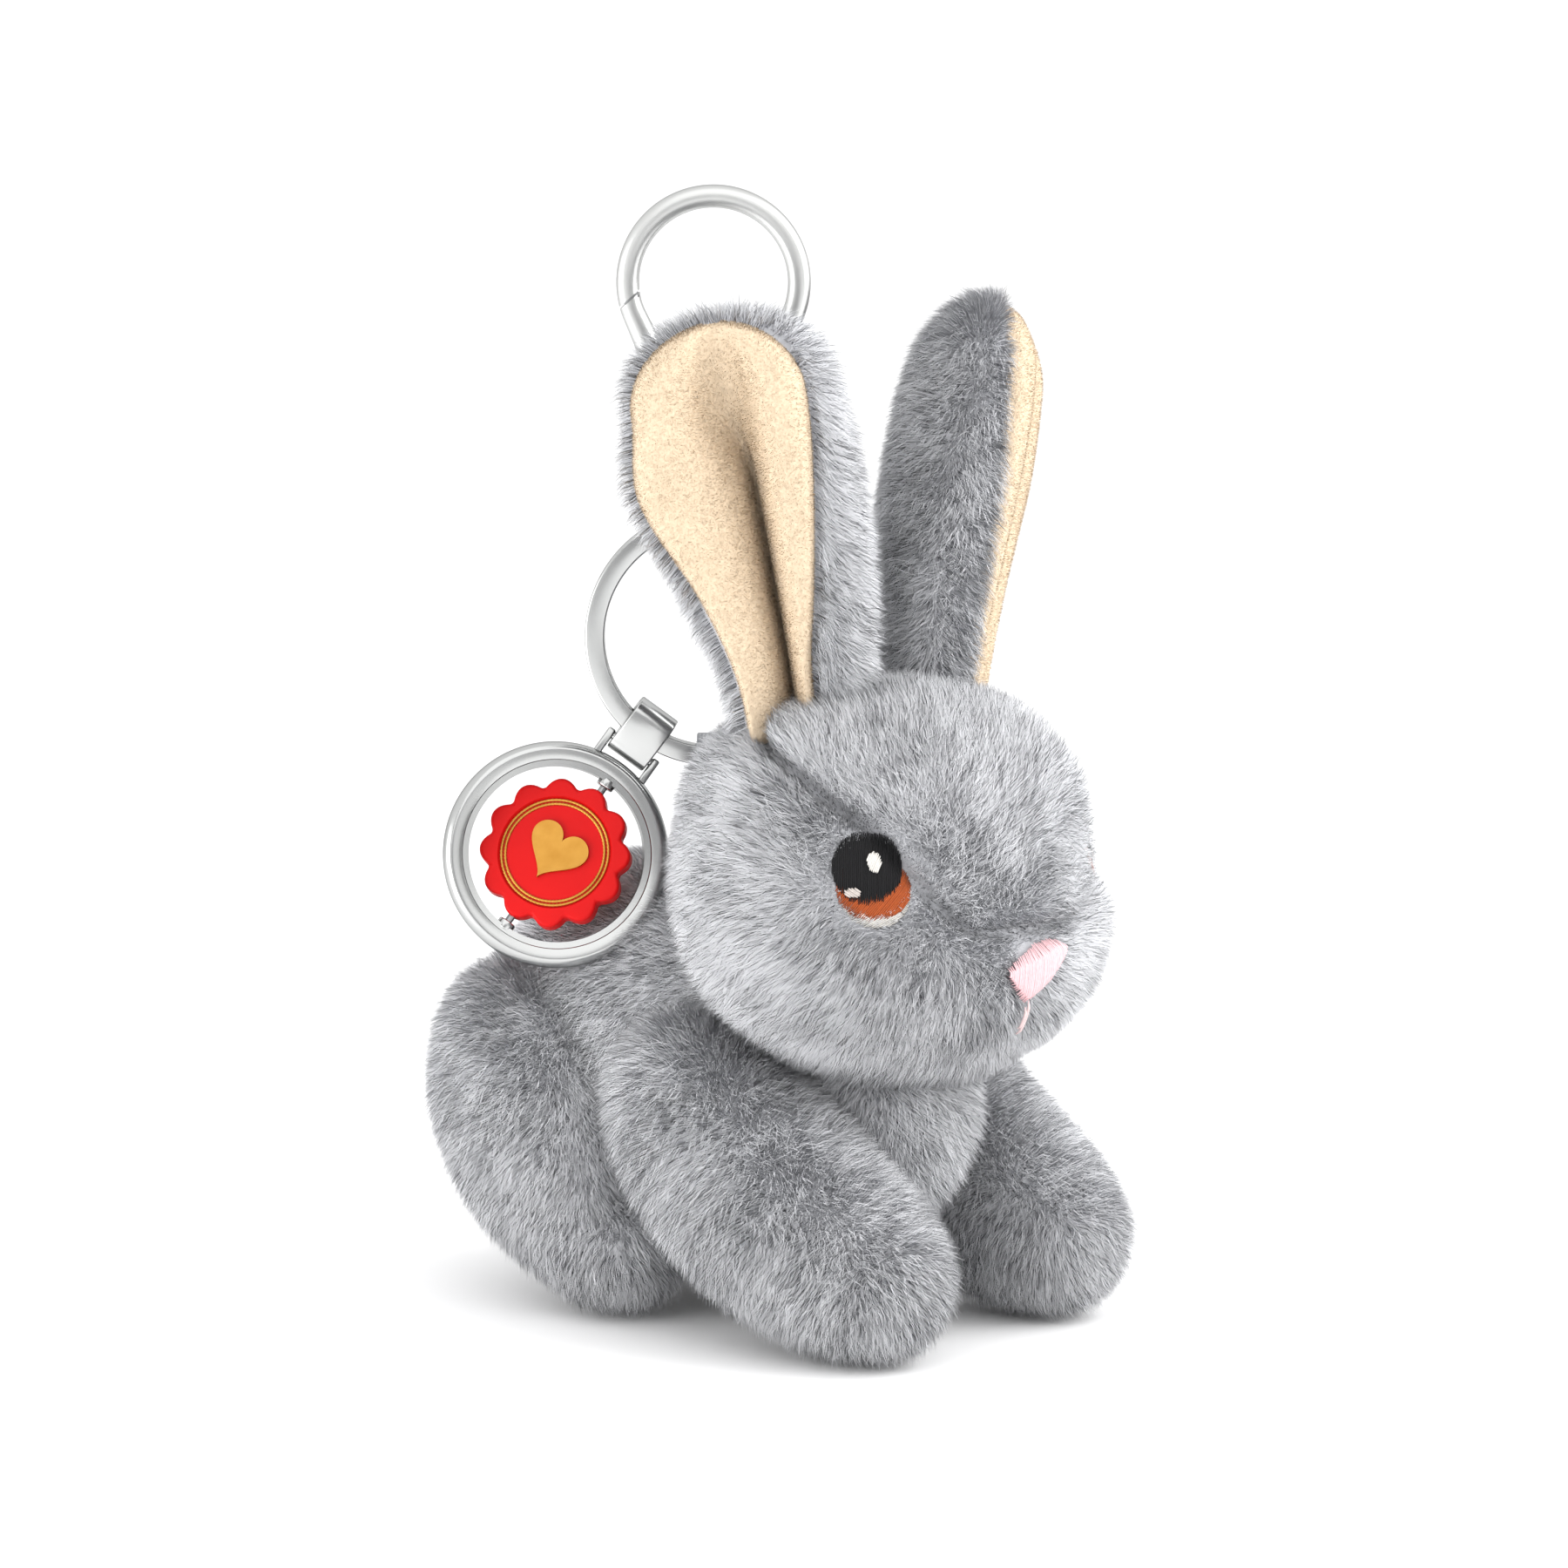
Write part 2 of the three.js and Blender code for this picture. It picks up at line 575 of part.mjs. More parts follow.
for (const [side, place] of [["right", (s) => s], ["left", mirrored]]) {
  const front = (grow) => stuffed(place(FRONT_LEG), grow, 14, 10, 0.55);
  const hind = (grow) => stuffed(place(HIND_LEG), grow, 14, 10, 0.55);
  sewn(`front_leg_${side}`, front, legRoom);
  sewn(`hind_leg_${side}`, hind, legRoom.add(front(GAP + 0.15)));
}
const tail = new THREE.SphereGeometry(5, 12, 9).translate(0, 31.5, -98);
piece("tail", solidOf(tail).subtract(bodyRoom), plush, rabbit);

// ---------------------------------------------------------------- rabbit: ears

// Half the ear's chord and the depth of its cup, up its length from 0 to 1.
const widest = 0.62;
const chord = (s) =>
  s < widest
    ? THREE.MathUtils.lerp(5.4, 11, THREE.MathUtils.smootherstep(s, -0.15, widest))
    : 11 * Math.sqrt(Math.max(0.004, 1 - ((s - widest) / (1 - widest)) ** 2));
const cup = (s) => THREE.MathUtils.lerp(6, 2.2, THREE.MathUtils.smoothstep(s, 0, 1));
const bend = (s) => THREE.MathUtils.lerp(95, 62, s) * DEGREE;

// A point of the ear's sheet: up from 0 to 1, across from -1 to 1, off it to the back.
function earPoint(up, across, off) {
  const angle = across * bend(up);
  const wide = (chord(up) * Math.sin(angle)) / Math.sin(Math.min(bend(up), Math.PI / 2));
  const deep = (cup(up) * (Math.cos(angle) - Math.cos(bend(up)))) / (1 - Math.cos(bend(up)));
  const out = off * (0.35 + 0.65 * (1 - across * across));
  return at(wide + off * 0.6 * Math.sin(angle), deep + out * Math.cos(angle * 0.8), up * EAR.length);
}

function earLayer(near, far) {
  const rows = [];
  for (let row = 0; row <= 11; row++) {
    const up = 0.985 * Math.sin(((row / 11) * Math.PI) / 2);
    const there = [];
    const back = [];
    for (let column = 0; column <= 8; column++) {
      const across = -1 + column / 4;
      there.push(earPoint(up, across, near));
      back.unshift(earPoint(up, across, far));
    }
    rows.push([...there, ...back]);
  }
  return lofted(rows);
}

for (const [side, sign] of [["right", -1], ["left", 1]]) {
  const ear = new THREE.Object3D();
  ear.position.set(sign * EAR.out, -EAR.forward, EAR.foot);
  ear.rotation.set(0, sign * EAR.lean, sign * EAR_YAW[side], "YZX");
  ear.updateMatrix();
  const placed = (layer) => layer.transform(ear.matrix.elements).subtract(headForm(EAR.clear));
  piece(`ear_${side}_back`, placed(earLayer(0, 2.1)), plush, rabbit);
  piece(`ear_${side}_lining`, placed(earLayer(-1.3, -GAP)), fleece, rabbit);
}

// ---------------------------------------------------------------- rabbit: face

// An embroidered patch on the head: a flat disc pressed on to the skin about one direction.
function patch(towards, radiusAt, thick = 0.6, lift = 0.35) {
  const disc = new THREE.CylinderGeometry(1, 1, 1, 24, 1);
  const position = disc.getAttribute("position");
  const ahead = towards.clone().normalize();
  const side = new THREE.Vector3().crossVectors(ahead, at(0, 0, 1)).normalize();
  const above = new THREE.Vector3().crossVectors(side, ahead);
  for (let i = 0; i < position.count; i++) {
    const from = new THREE.Vector3().fromBufferAttribute(position, i);
    const reach = Math.hypot(from.x, from.z) > 0.5 ? radiusAt(Math.atan2(from.z, from.x)) : 0;
    const angle = Math.atan2(from.z, from.x);
    const direction = ahead
      .clone()
      .multiplyScalar(headRadius(ahead))
      .addScaledVector(side, reach * Math.cos(angle))
      .addScaledVector(above, reach * Math.sin(angle))
      .normalize();
    const point = onHead(direction, lift + (from.y + 0.5) * thick);
    position.setXYZ(i, point.x, point.y, point.z);
  }
  return disc;
}
const outward = (geometry) => {
  const solid = solidOf(geometry);
  return solid.volume() < 0 ? solidOf(flipped(mergeBare(geometry))) : solid;
};

const ellipse = (wide, high) => (angle) => 1 / Math.hypot(Math.cos(angle) / wide, Math.sin(angle) / high);
const EYE_TURN = 50 * DEGREE; // from the nose, round to the side of the head
for (const [side, sign] of [["right", -1], ["left", 1]]) {
  const towards = at(sign * Math.sin(EYE_TURN), -Math.cos(EYE_TURN), 0.12);
  piece(`eye_${side}`, outward(patch(towards, ellipse(4.2, 5.4))), blackThread, rabbit);
}

// The nose is a rounded triangle, wide at the top, with a stitch running down from its point.
const noseTowards = at(0, -1, -0.4);
const noseRadius = (angle) => 3.6 + 0.9 * Math.cos(3 * (angle - 30 * DEGREE));
piece("nose", outward(patch(noseTowards, noseRadius)), pinkThread, rabbit);
const stitchTowards = at(0, -1, -0.79);
piece("mouth_stitch", outward(patch(stitchTowards, ellipse(0.5, 2.2))), pinkThread, rabbit);

export default keychain;
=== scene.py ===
"""A plush rabbit keychain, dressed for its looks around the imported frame.

Metres, +Z up. The origin is on the inside of the clasp's crown. The face of the hardware looks along -Y.
The rabbit is modelled in a frame of its own, its nose along -Y and its left along +X, and is then turned
into place. Lengths are given in millimetres and brought to metres as each piece is placed.
"""
import math

import bmesh
import bpy
import numpy as np
from mathutils import Matrix, Vector
from mathutils.bvhtree import BVHTree

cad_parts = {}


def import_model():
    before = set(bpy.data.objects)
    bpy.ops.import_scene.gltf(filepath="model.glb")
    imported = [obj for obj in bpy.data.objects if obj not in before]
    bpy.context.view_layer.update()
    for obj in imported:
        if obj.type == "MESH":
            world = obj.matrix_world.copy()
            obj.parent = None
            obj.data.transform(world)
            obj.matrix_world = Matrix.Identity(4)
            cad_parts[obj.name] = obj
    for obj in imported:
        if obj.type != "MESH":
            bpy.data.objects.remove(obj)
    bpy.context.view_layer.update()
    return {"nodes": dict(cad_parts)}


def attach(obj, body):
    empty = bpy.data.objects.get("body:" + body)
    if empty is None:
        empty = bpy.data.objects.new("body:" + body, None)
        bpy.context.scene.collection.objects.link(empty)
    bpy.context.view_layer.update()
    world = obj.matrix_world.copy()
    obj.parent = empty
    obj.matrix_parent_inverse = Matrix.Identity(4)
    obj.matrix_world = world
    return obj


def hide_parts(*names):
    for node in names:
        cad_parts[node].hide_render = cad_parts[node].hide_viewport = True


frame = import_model()

MM = 0.001
RABBIT_TURN = math.radians(50)  # the nose, turned from -Y towards +X
RABBIT_BACK = 5.0  # how far the rabbit sits behind the ring
TO_WORLD = Matrix.Translation((0, RABBIT_BACK * MM, 0)) @ Matrix.Rotation(RABBIT_TURN, 4, "Z")
SCALE = Matrix.Scale(MM, 4)
FLOOR = -127.0  # where the paws' pile rests
CLOTH_FLOOR = -125.4  # where the cloth under it rests

# ---------------------------------------------------------------- camera, floor and light

CAMERA_DISTANCE = 750.0
CAMERA_TILT = math.radians(8)
CAMERA_TARGET = Vector((8.0, 0.0, -66.0))
LAMP_AIM = (10, 0, -70)  # the rabbit's middle
CARD_AIM = (0, 0, -50)  # the hardware's middle


def camera():
    """A long lens a little above the rabbit's back."""
    bpy.ops.object.camera_add()
    made = bpy.context.object
    made.name = "camera"
    back = Vector((0, -math.cos(CAMERA_TILT), math.sin(CAMERA_TILT)))
    made.location = (CAMERA_TARGET + back * CAMERA_DISTANCE) * MM
    made.rotation_euler = (-back).to_track_quat("-Z", "Y").to_euler()
    made.data.sensor_width = 36
    made.data.lens = 150
    made.data.clip_start = 0.05
    made.data.clip_end = 20
    bpy.context.scene.camera = made


def facing(obj, aim):
    """Turns a lamp or a card to look at a point."""
    away = Vector(aim) * MM - obj.location
    obj.rotation_euler = away.to_track_quat("-Z", "Y").to_euler()


def lamp(name, place, size, power):
    """A square soft box that looks at the middle of the rabbit."""
    bpy.ops.object.light_add(type="AREA", location=Vector(place) * MM)
    made = bpy.context.object
    made.name = name
    made.data.size = size * MM
    made.data.energy = power
    facing(made, LAMP_AIM)


def card(name, place, wide, high, grey):
    """A matt card off to the side, seen only in the chrome."""
    bpy.ops.mesh.primitive_plane_add(size=1, location=Vector(place) * MM)
    made = bpy.context.object
    made.name = name
    made.scale = (wide * MM, high * MM, 1)
    facing(made, CARD_AIM)
    matt = Finish(name)
    matt.set(Base_Color=matt.mix(matt.noise(4.0), grey, grey), Roughness=1.0)
    made.data.materials.append(matt.material)
    made.visible_camera = made.visible_diffuse = made.visible_shadow = False


def world(strength):
    """Even white light from all round."""
    sky = bpy.data.worlds.new("studio")
    sky.use_nodes = True
    background = sky.node_tree.nodes["Background"]
    background.inputs["Color"].default_value = (1.0, 1.0, 1.0, 1)
    background.inputs["Strength"].default_value = strength
    bpy.context.scene.world = sky


# ---------------------------------------------------------------- shader maths


class Socket:
    """A node's output that takes part in sums."""

    def __init__(self, finish, link):
        self.finish = finish
        self.link = link

    def maths(self, operation, first, second):
        return self.finish.node("ShaderNodeMath", {"operation": operation}, {0: first, 1: second})

    def __add__(self, other):
        return self.maths("ADD", self, other)

    __radd__ = __add__

    def __mul__(self, other):
        return self.maths("MULTIPLY", self, other)

    __rmul__ = __mul__


def ramp_stops(ramp, stops):
    while len(ramp.elements) < len(stops):
        ramp.elements.new(0.5)
    for element, (position, colour) in zip(ramp.elements, stops):
        element.position = position
        element.color = (*colour, 1)


class Finish:
    """A material under way: a Principled shader and the nodes that feed it."""

    def __init__(self, name):
        self.material = bpy.data.materials.new(name)
        self.material.use_nodes = True
        self.nodes = self.material.node_tree.nodes
        self.links = self.material.node_tree.links
        self.shader = self.nodes["Principled BSDF"]

    def node(self, kind, settings=None, values=None, output=0):
        """A node of that kind. Settings are made first, then each socket gets its value or link."""
        made = self.nodes.new(kind)
        for key, value in (settings or {}).items():
            if key == "stops":
                ramp_stops(made.color_ramp, value)
            else:
                setattr(made, key, value)
        for key, value in (values or {}).items():
            self.feed(made.inputs[key], value)
        return Socket(self, made.outputs[output])

    def feed(self, socket, value):
        """A socket's link, colour or plain value."""
        if isinstance(value, Socket):
            self.links.new(value.link, socket)
        elif hasattr(value, "__len__") and len(value) == 3 and socket.type == "RGBA":
            socket.default_value = (*value, 1)
        else:
            socket.default_value = value

    def set(self, **sockets):
        """Sockets of the Principled shader, by name, with _ for a space."""
        for key, value in sockets.items():
            self.feed(self.shader.inputs[key.replace("_", " ")], value)
        return self

    def place(self, stretch=(1, 1, 1)):
        """Places on the piece, in metres."""
        here = self.node("ShaderNodeTexCoord", output="Object")
        return self.node("ShaderNodeMapping", {}, {"Vector": here, "Scale": stretch})

    def noise(self, scale, detail=2.0, stretch=(1, 1, 1)):
        values = {"Vector": self.place(stretch), "Scale": scale, "Detail": detail}
        return self.node("ShaderNodeTexNoise", {}, values)

    def bands(self, scale, axis):
        settings = {"bands_direction": axis}
        return self.node("ShaderNodeTexWave", settings, {"Vector": self.place(), "Scale": scale})

    def mix(self, share, first, second):
        values = {"Factor": share, 6: first, 7: second}
        return self.node("ShaderNodeMix", {"data_type": "RGBA"}, values, output=2)

    def bump(self, height, strength, distance):
        values = {"Height": height, "Strength": strength, "Distance": distance}
        return self.node("ShaderNodeBump", {}, values)


PILE_MAP = "OFBake"  # each fibre's tone across, root to tip up


def pile_finish(name, root, middle, tip, shade):
    """Fibres: a colour from root to tip, darker at the root as painted shade among the fibres, and each fibre
    with a tone of its own between shade and full. The lowest tones are painted shade in the seams.
    """
    made = Finish(name)
    where = made.node("ShaderNodeUVMap", {"uv_map": PILE_MAP})
    tone = made.node("ShaderNodeSeparateXYZ", {}, {0: where}, output=0)
    height = made.node("ShaderNodeSeparateXYZ", {}, {0: where}, output=1)
    # The root is darker than the tip: painted shade down among the fibres.
    stops = [(0.0, root), (0.55, middle), (1.0, tip)]
    along = made.node("ShaderNodeValToRGB", {"stops": stops}, {0: height})
    dark = made.node("ShaderNodeVectorMath", {"operation": "MULTIPLY"}, {0: along, 1: (shade,) * 3})
    made.set(Base_Color=made.mix(tone, dark, along), Roughness=1.0, Specular_IOR_Level=0.08)
    return made.material


def cloth_finish(name, colour, shade):
    """The knitted backing under a pile."""
    made = Finish(name)
    patchy = made.noise(90.0, 3.0)
    fine = made.noise(1400.0, 2.0)
    made.set(
        Base_Color=made.mix(patchy, tuple(shade * c for c in colour), colour),
        Roughness=0.95,
        Specular_IOR_Level=0.1,
        Normal=made.bump(fine, 0.6, 0.0004),
    )
    return made.material


def thread_finish(name, colour, rough=0.5):
    """Satin-stitched thread, twisted along its length."""
    made = Finish(name)
    across = made.node("ShaderNodeUVMap", {"uv_map": "Thread"})
    twist = made.node(
        "ShaderNodeTexWave",
        {"wave_type": "BANDS", "bands_direction": "DIAGONAL"},
        {"Vector": across, "Scale": 6.0, "Distortion": 0.4},
    )
    patchy = made.noise(2500.0, 1.0)
    made.set(
        Base_Color=made.mix(patchy, tuple(0.7 * c for c in colour), colour),
        Roughness=rough,
        Sheen_Weight=0.05,
        Specular_IOR_Level=0.2,
        Normal=made.bump(twist, 0.35, 0.00005),
    )
    return made.material


def chrome_finish(name, colour=(0.52, 0.525, 0.52), rough=0.16):
    """Bright plating with faint handling marks."""
    made = Finish(name)
    marks = made.noise(260.0, 6.0, (1, 1, 0.25))
    cloud = made.noise(120.0, 2.0)
    made.set(
        Base_Color=made.mix(cloud, tuple(0.93 * c for c in colour), colour),
        Metallic=1.0,
        Specular_Tint=(0.45, 0.45, 0.45),
        Roughness=rough + marks * 0.10,
        Normal=made.bump(made.noise(900.0, 3.0), 0.03, 0.0001),
    )
    return made.material


def enamel_finish(name):
    """Glossy coloured enamel with a slightly uneven face."""
    made = Finish(name)
    cloud = made.noise(160.0, 3.0)
    made.set(
        Base_Color=made.mix(cloud, (0.50, 0.003, 0.004), (0.60, 0.005, 0.005)),
        Roughness=0.42 + made.noise(700.0, 4.0) * 0.12,
        Specular_IOR_Level=0.12,
        Coat_Weight=0.05,
        Coat_Roughness=0.15,
        Normal=made.bump(made.noise(1500.0, 2.0), 0.06, 0.0001),
    )
    return made.material


def gold_finish(name):
    """Old gold, darker in its grain."""
    made = Finish(name)
    cloud = made.noise(500.0, 4.0)
    made.set(
        Base_Color=made.mix(cloud, (0.42, 0.19, 0.03), (0.66, 0.36, 0.08)),
        Metallic=1.0,
        Roughness=0.34 + cloud * 0.2,
        Normal=made.bump(cloud, 0.15, 0.0001),
    )
    return made.material


def ribbon_finish(name):
    """Plain woven tape: ribs across and along, from two crossed bands."""
    made = Finish(name)
    weave = made.bands(900.0, "Z") * made.bands(700.0, "X")
    made.set(
        Base_Color=made.mix(weave, (0.20, 0.205, 0.22), (0.36, 0.37, 0.39)),
        Roughness=0.8,
        Sheen_Weight=0.3,
        Normal=made.bump(weave, 0.5, 0.0002),
    )
    return made.material


def floor_finish():
    made = Finish("pale_floor")
    made.set(
        Base_Color=made.mix(made.noise(3.0, 2.0), (0.95, 0.95, 0.955), (0.97, 0.97, 0.97)),
        Roughness=0.9,
    )
    return made.material


# Each pile is darker at its root than at its tip: painted shade down among the fibres.
GREY_ROOT = (0.67, 0.675, 0.71)
GREY_MIDDLE = (0.76, 0.765, 0.79)
GREY_TIP = (0.80, 0.805, 0.83)
CREAM_ROOT = (0.75, 0.605, 0.445)
CREAM_MIDDLE = (0.765, 0.625, 0.47)
CREAM_TIP = (0.785, 0.655, 0.50)


# ---------------------------------------------------------------- modelling helpers


def deselect():
    """Object mode, with nothing selected."""
    if bpy.context.object and bpy.context.object.mode != "OBJECT":
        bpy.ops.object.mode_set(mode="OBJECT")
    bpy.ops.object.select_all(action="DESELECT")


def positions(obj):
    found = np.zeros(len(obj.data.vertices) * 3)
    obj.data.vertices.foreach_get("co", found)
    return found.reshape(-1, 3)


def reshape(obj, points):
    obj.data.vertices.foreach_set("co", np.asarray(points, float).ravel())
    obj.data.update()


def started(name):
    """The primitive just added, alone selected, under its name."""
    made = bpy.context.object
    made.name = name
    made.data.name = name
    return made


def closed_up(obj, merge=1e-4):
    """Doubles merged and faces turned out."""
    bpy.context.view_layer.objects.active = obj
    bpy.ops.object.mode_set(mode="EDIT")
    bpy.ops.mesh.select_all(action="SELECT")
    bpy.ops.mesh.remove_doubles(threshold=merge)
    bpy.ops.mesh.normals_make_consistent(inside=False)
    bpy.ops.object.mode_set(mode="OBJECT")
    return obj


def modified(obj, kind, **settings):
    """A modifier made and applied."""
    bpy.context.view_layer.objects.active = obj
    modifier = obj.modifiers.new(kind.lower(), kind)
    for key, value in settings.items():
        setattr(modifier, key, value)
    bpy.ops.object.modifier_apply(modifier=modifier.name)
    return obj


def eased(obj, width, segments, least=30):
    """Edges sharper than the least angle, rounded."""
    return modified(
        obj, "BEVEL", width=width, segments=segments, limit_method="ANGLE", angle_limit=math.radians(least)
    )


def filled(obj):
    """Each open end filled with one face, and all faces turned out."""
    shape = bmesh.new()
    shape.from_mesh(obj.data)
    bmesh.ops.holes_fill(shape, edges=[edge for edge in shape.edges if edge.is_boundary], sides=0)
    bmesh.ops.recalc_face_normals(shape, faces=shape.faces)
    shape.to_mesh(obj.data)
    shape.free()
    return obj


def joined(name, parts):
    """Several pieces made one."""
    deselect()
    for part in parts:
        part.select_set(True)
    bpy.context.view_layer.objects.active = parts[0]
    if len(parts) > 1:
        bpy.ops.object.join()
    return started(name)


def finished(obj, material, body, nodes=(), place=SCALE, smooth=60):
    """Puts a piece in its place for good and gives it its finish, body and the nodes it stands for."""
    deselect()
    obj.select_set(True)
    bpy.context.view_layer.objects.active = obj
    obj.data.transform(place)
    if smooth >= 180:
        bpy.ops.object.shade_smooth()
    else:
        bpy.ops.object.shade_smooth_by_angle(angle=math.radians(smooth))
    obj.data.materials.clear()
    obj.data.materials.append(material)
    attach(obj, body)
    if nodes:
        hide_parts(*nodes)
    return obj


class Bar:
    """A bar drawn out step by step: an outline is set down, then pushed along and spun round."""

    def __init__(self, name, outline):
        deselect()
        bpy.ops.mesh.primitive_circle_add(vertices=len(outline), radius=1)
        self.obj = started(name)
        reshape(self.obj, outline)
        bpy.ops.object.mode_set(mode="EDIT")
        bpy.ops.mesh.select_mode(type="VERT")
        bpy.ops.mesh.select_all(action="SELECT")

    def push(self, *move):
        """Straight on, by that much."""
        bpy.ops.mesh.extrude_region_move(TRANSFORM_OT_translate={"value": move})

    def spin(self, degrees, centre, axis, steps):
        """Right-handed about the axis."""
        bpy.ops.mesh.spin(
            steps=steps,
            angle=-math.radians(degrees),
            center=centre,
            axis=axis,
            use_auto_merge=False,
        )

    def close(self):
        """The far end meets the near one."""
        bpy.ops.object.mode_set(mode="OBJECT")
        return closed_up(self.obj, 1e-3)

    def cap(self):
        """Both ends are filled."""
        bpy.ops.object.mode_set(mode="OBJECT")
        return closed_up(filled(self.obj))


def rounded_outline(wide, deep, radius, steps=4):
    """A rectangle with round corners, as (across, through) pairs about its middle."""
    points = []
    for corner, (sx, sy) in enumerate([(1, 1), (-1, 1), (-1, -1), (1, -1)]):
        for step in range(steps + 1):
            angle = math.pi / 2 * (corner + step / steps)
            across = sx * (wide / 2 - radius) + radius * math.cos(angle)
            through = sy * (deep / 2 - radius) + radius * math.sin(angle)
            points.append((across, through))
    return points


def puck(name, radius, thick, place, axis="Z", edge=0.15, segments=3, around=40):
    """A short round of metal along an axis, its rims eased."""
    deselect()
    turn = {"X": (0, math.pi / 2, 0), "Y": (math.pi / 2, 0, 0), "Z": (0, 0, 0)}[axis]
    bpy.ops.mesh.primitive_cylinder_add(
        vertices=around, radius=radius, depth=thick, location=place, rotation=turn
    )
    made = started(name)
    bpy.ops.object.transform_apply(location=True, rotation=True, scale=True)
    return eased(made, edge, segments)


def block(name, size, place, edge, segments, turn=0.0):
    """A block turned about Y, its edges eased."""
    deselect()
    bpy.ops.mesh.primitive_cube_add(size=1, location=place, rotation=(0, turn, 0))
    made = started(name)
    made.scale = size
    bpy.ops.object.transform_apply(location=True, rotation=True, scale=True)
    return eased(made, edge, segments)


def cut(obj, point, normal, where):
    """Cuts the part of obj that where picks and drops the side that the normal points to."""
    deselect()
    bpy.context.view_layer.objects.active = obj
    bpy.ops.object.mode_set(mode="EDIT")
    bpy.ops.mesh.select_mode(type="FACE")
    bpy.ops.mesh.select_all(action="DESELECT")
    shape = bmesh.from_edit_mesh(obj.data)
    for face in shape.faces:
        face.select_set(where(face.calc_center_median()))
    bmesh.update_edit_mesh(obj.data)
    bpy.ops.mesh.bisect(plane_co=point, plane_no=normal, use_fill=True, clear_outer=True)
    bpy.ops.object.mode_set(mode="OBJECT")
    return closed_up(obj)


# ---------------------------------------------------------------- soft shapes


def unit(vector):
    vector = np.asarray(vector, float)
    return vector / np.linalg.norm(vector)


def units(rows):
    """Each row brought to length one."""
    return rows / np.linalg.norm(rows, axis=1)[:, None]


def smooth_path(stations, count):
    """Catmull-Rom through the stations, evenly in station number."""
    known = np.array(stations, float)
    padded = np.vstack([2 * known[0] - known[1], known, 2 * known[-1] - known[-2]])
    share = np.linspace(0, len(known) - 1 - 1e-9, count)
    first = share.astype(int)
    t = (share - first)[:, None]
    a, b, c, d = (padded[first + k] for k in range(4))
    return 0.5 * (2 * b + (c - a) * t + (2 * a - 5 * b + 4 * c - d) * t**2 + (3 * b - a - 3 * c + d) * t**3)


def ball(name, around, along):
    """A ball of radius one. Its points and faces are numbered by ring and spoke, because the operator's own
    order changes from run to run, and the pile is scattered face by face.
    """
    deselect()
    bpy.ops.mesh.primitive_uv_sphere_add(segments=around, ring_count=along, radius=1)
    made = started(name)
    points = positions(made)
    ring = np.rint(np.arccos(np.clip(points[:, 2], -1, 1)) / np.pi * along)
    spoke = np.rint(np.arctan2(points[:, 1], points[:, 0]) / (2 * np.pi) * around) % around
    spoke[(ring == 0) | (ring == along)] = 0
    order = np.lexsort((spoke, ring))
    number = np.argsort(order)
    faces = []
    for face in made.data.polygons:
        corners = number[list(face.vertices)].tolist()
        first = corners.index(min(corners))
        faces.append(corners[first:] + corners[:first])
    down, turn = ring[order] * np.pi / along, spoke[order] * 2 * np.pi / around
    points = np.stack([np.sin(down) * np.cos(turn), np.sin(down) * np.sin(turn), np.cos(down)], 1)
    made.data.clear_geometry()
    made.data.from_pydata(points.tolist(), [], sorted(faces))
    return made


STUFFED_BLUNT = 0.55  # below 1, a stuffed tube's ends are blunter than a ball's


def stuffed(name, stations):
    """A stuffed tube along a spine of [x, y, z, half width, half height], settled on the floor."""
    made = ball(name, 48, 40)
    round_ones = positions(made)
    fine = smooth_path(stations, 200)
    ahead = units(np.gradient(fine[:, :3], axis=0))
    share = (1 - round_ones[:, 2]) / 2 * 199
    low = np.clip(share.astype(int), 0, 198)
    t = (share - low)[:, None]
    station = fine[low] * (1 - t) + fine[low + 1] * t
    tangent = ahead[low] * (1 - t) + ahead[low + 1] * t
    side = units(np.cross(tangent, (0, 0, 1)))
    above = np.cross(side, tangent)
    ring = np.hypot(round_ones[:, 0], round_ones[:, 1])
    swell = np.where(ring > 1e-6, np.maximum(ring, 1e-6) ** (STUFFED_BLUNT - 1), 0)
    points = station[:, :3].copy()
    points += side * (round_ones[:, 0] * swell * station[:, 3])[:, None]
    points += above * (round_ones[:, 1] * swell * station[:, 4])[:, None]
    reshape(made, points)
    closed_up(made)
    reshape(made, flattened(positions(made), CLOTH_FLOOR))
    return made


def flattened(points, floor, give=2.5):
    """What would sink below the floor spreads out on it."""
    low = floor - points[:, 2]
    points[:, 2] = np.where(low > -give, floor + give * np.exp(-(low + give) / give) * 0.9, points[:, 2])
    return points


# ---------------------------------------------------------------- pile


def surface(obj):
    """A closed skin's triangles, for asking which points lie inside it."""
    obj.data.calc_loop_triangles()
    return BVHTree.FromPolygons(
        [v.co.copy() for v in obj.data.vertices], [t.vertices[:] for t in obj.data.loop_triangles]
    )


def depths(points, others):
    """How deep each point lies inside the other skins; less than nothing outside them all."""
    found = np.full(len(points), -12.0)
    for tree in others:
        for i, point in enumerate(points):
            near, normal, _, distance = tree.find_nearest(point, 12.0)
            if near is not None:
                inside = (Vector(point) - near).dot(normal) < 0
                found[i] = max(found[i], distance if inside else -distance)
    return found


def swirl(points, size, seed, waves=7):
    """A smooth field of directions that changes over about that size."""
    random = np.random.default_rng(seed)
    field = np.zeros((len(points), 3))
    for _ in range(waves):
        way = random.normal(0, 1, 3)
        way *= 2 * np.pi / (size * np.linalg.norm(way)) * random.uniform(0.7, 1.4)
        field += np.sin(points @ way + random.uniform(0, 6.28))[:, None] * random.normal(0, 1, 3)
    return field / math.sqrt(waves)


ROOT_DEPTH = 0.25  # how far under its skin a fibre starts
HIDDEN_DEPTH = 0.7  # a root deeper than this in another skin is left out
KNEE = 0.45  # where a fibre bends, as a share of its length


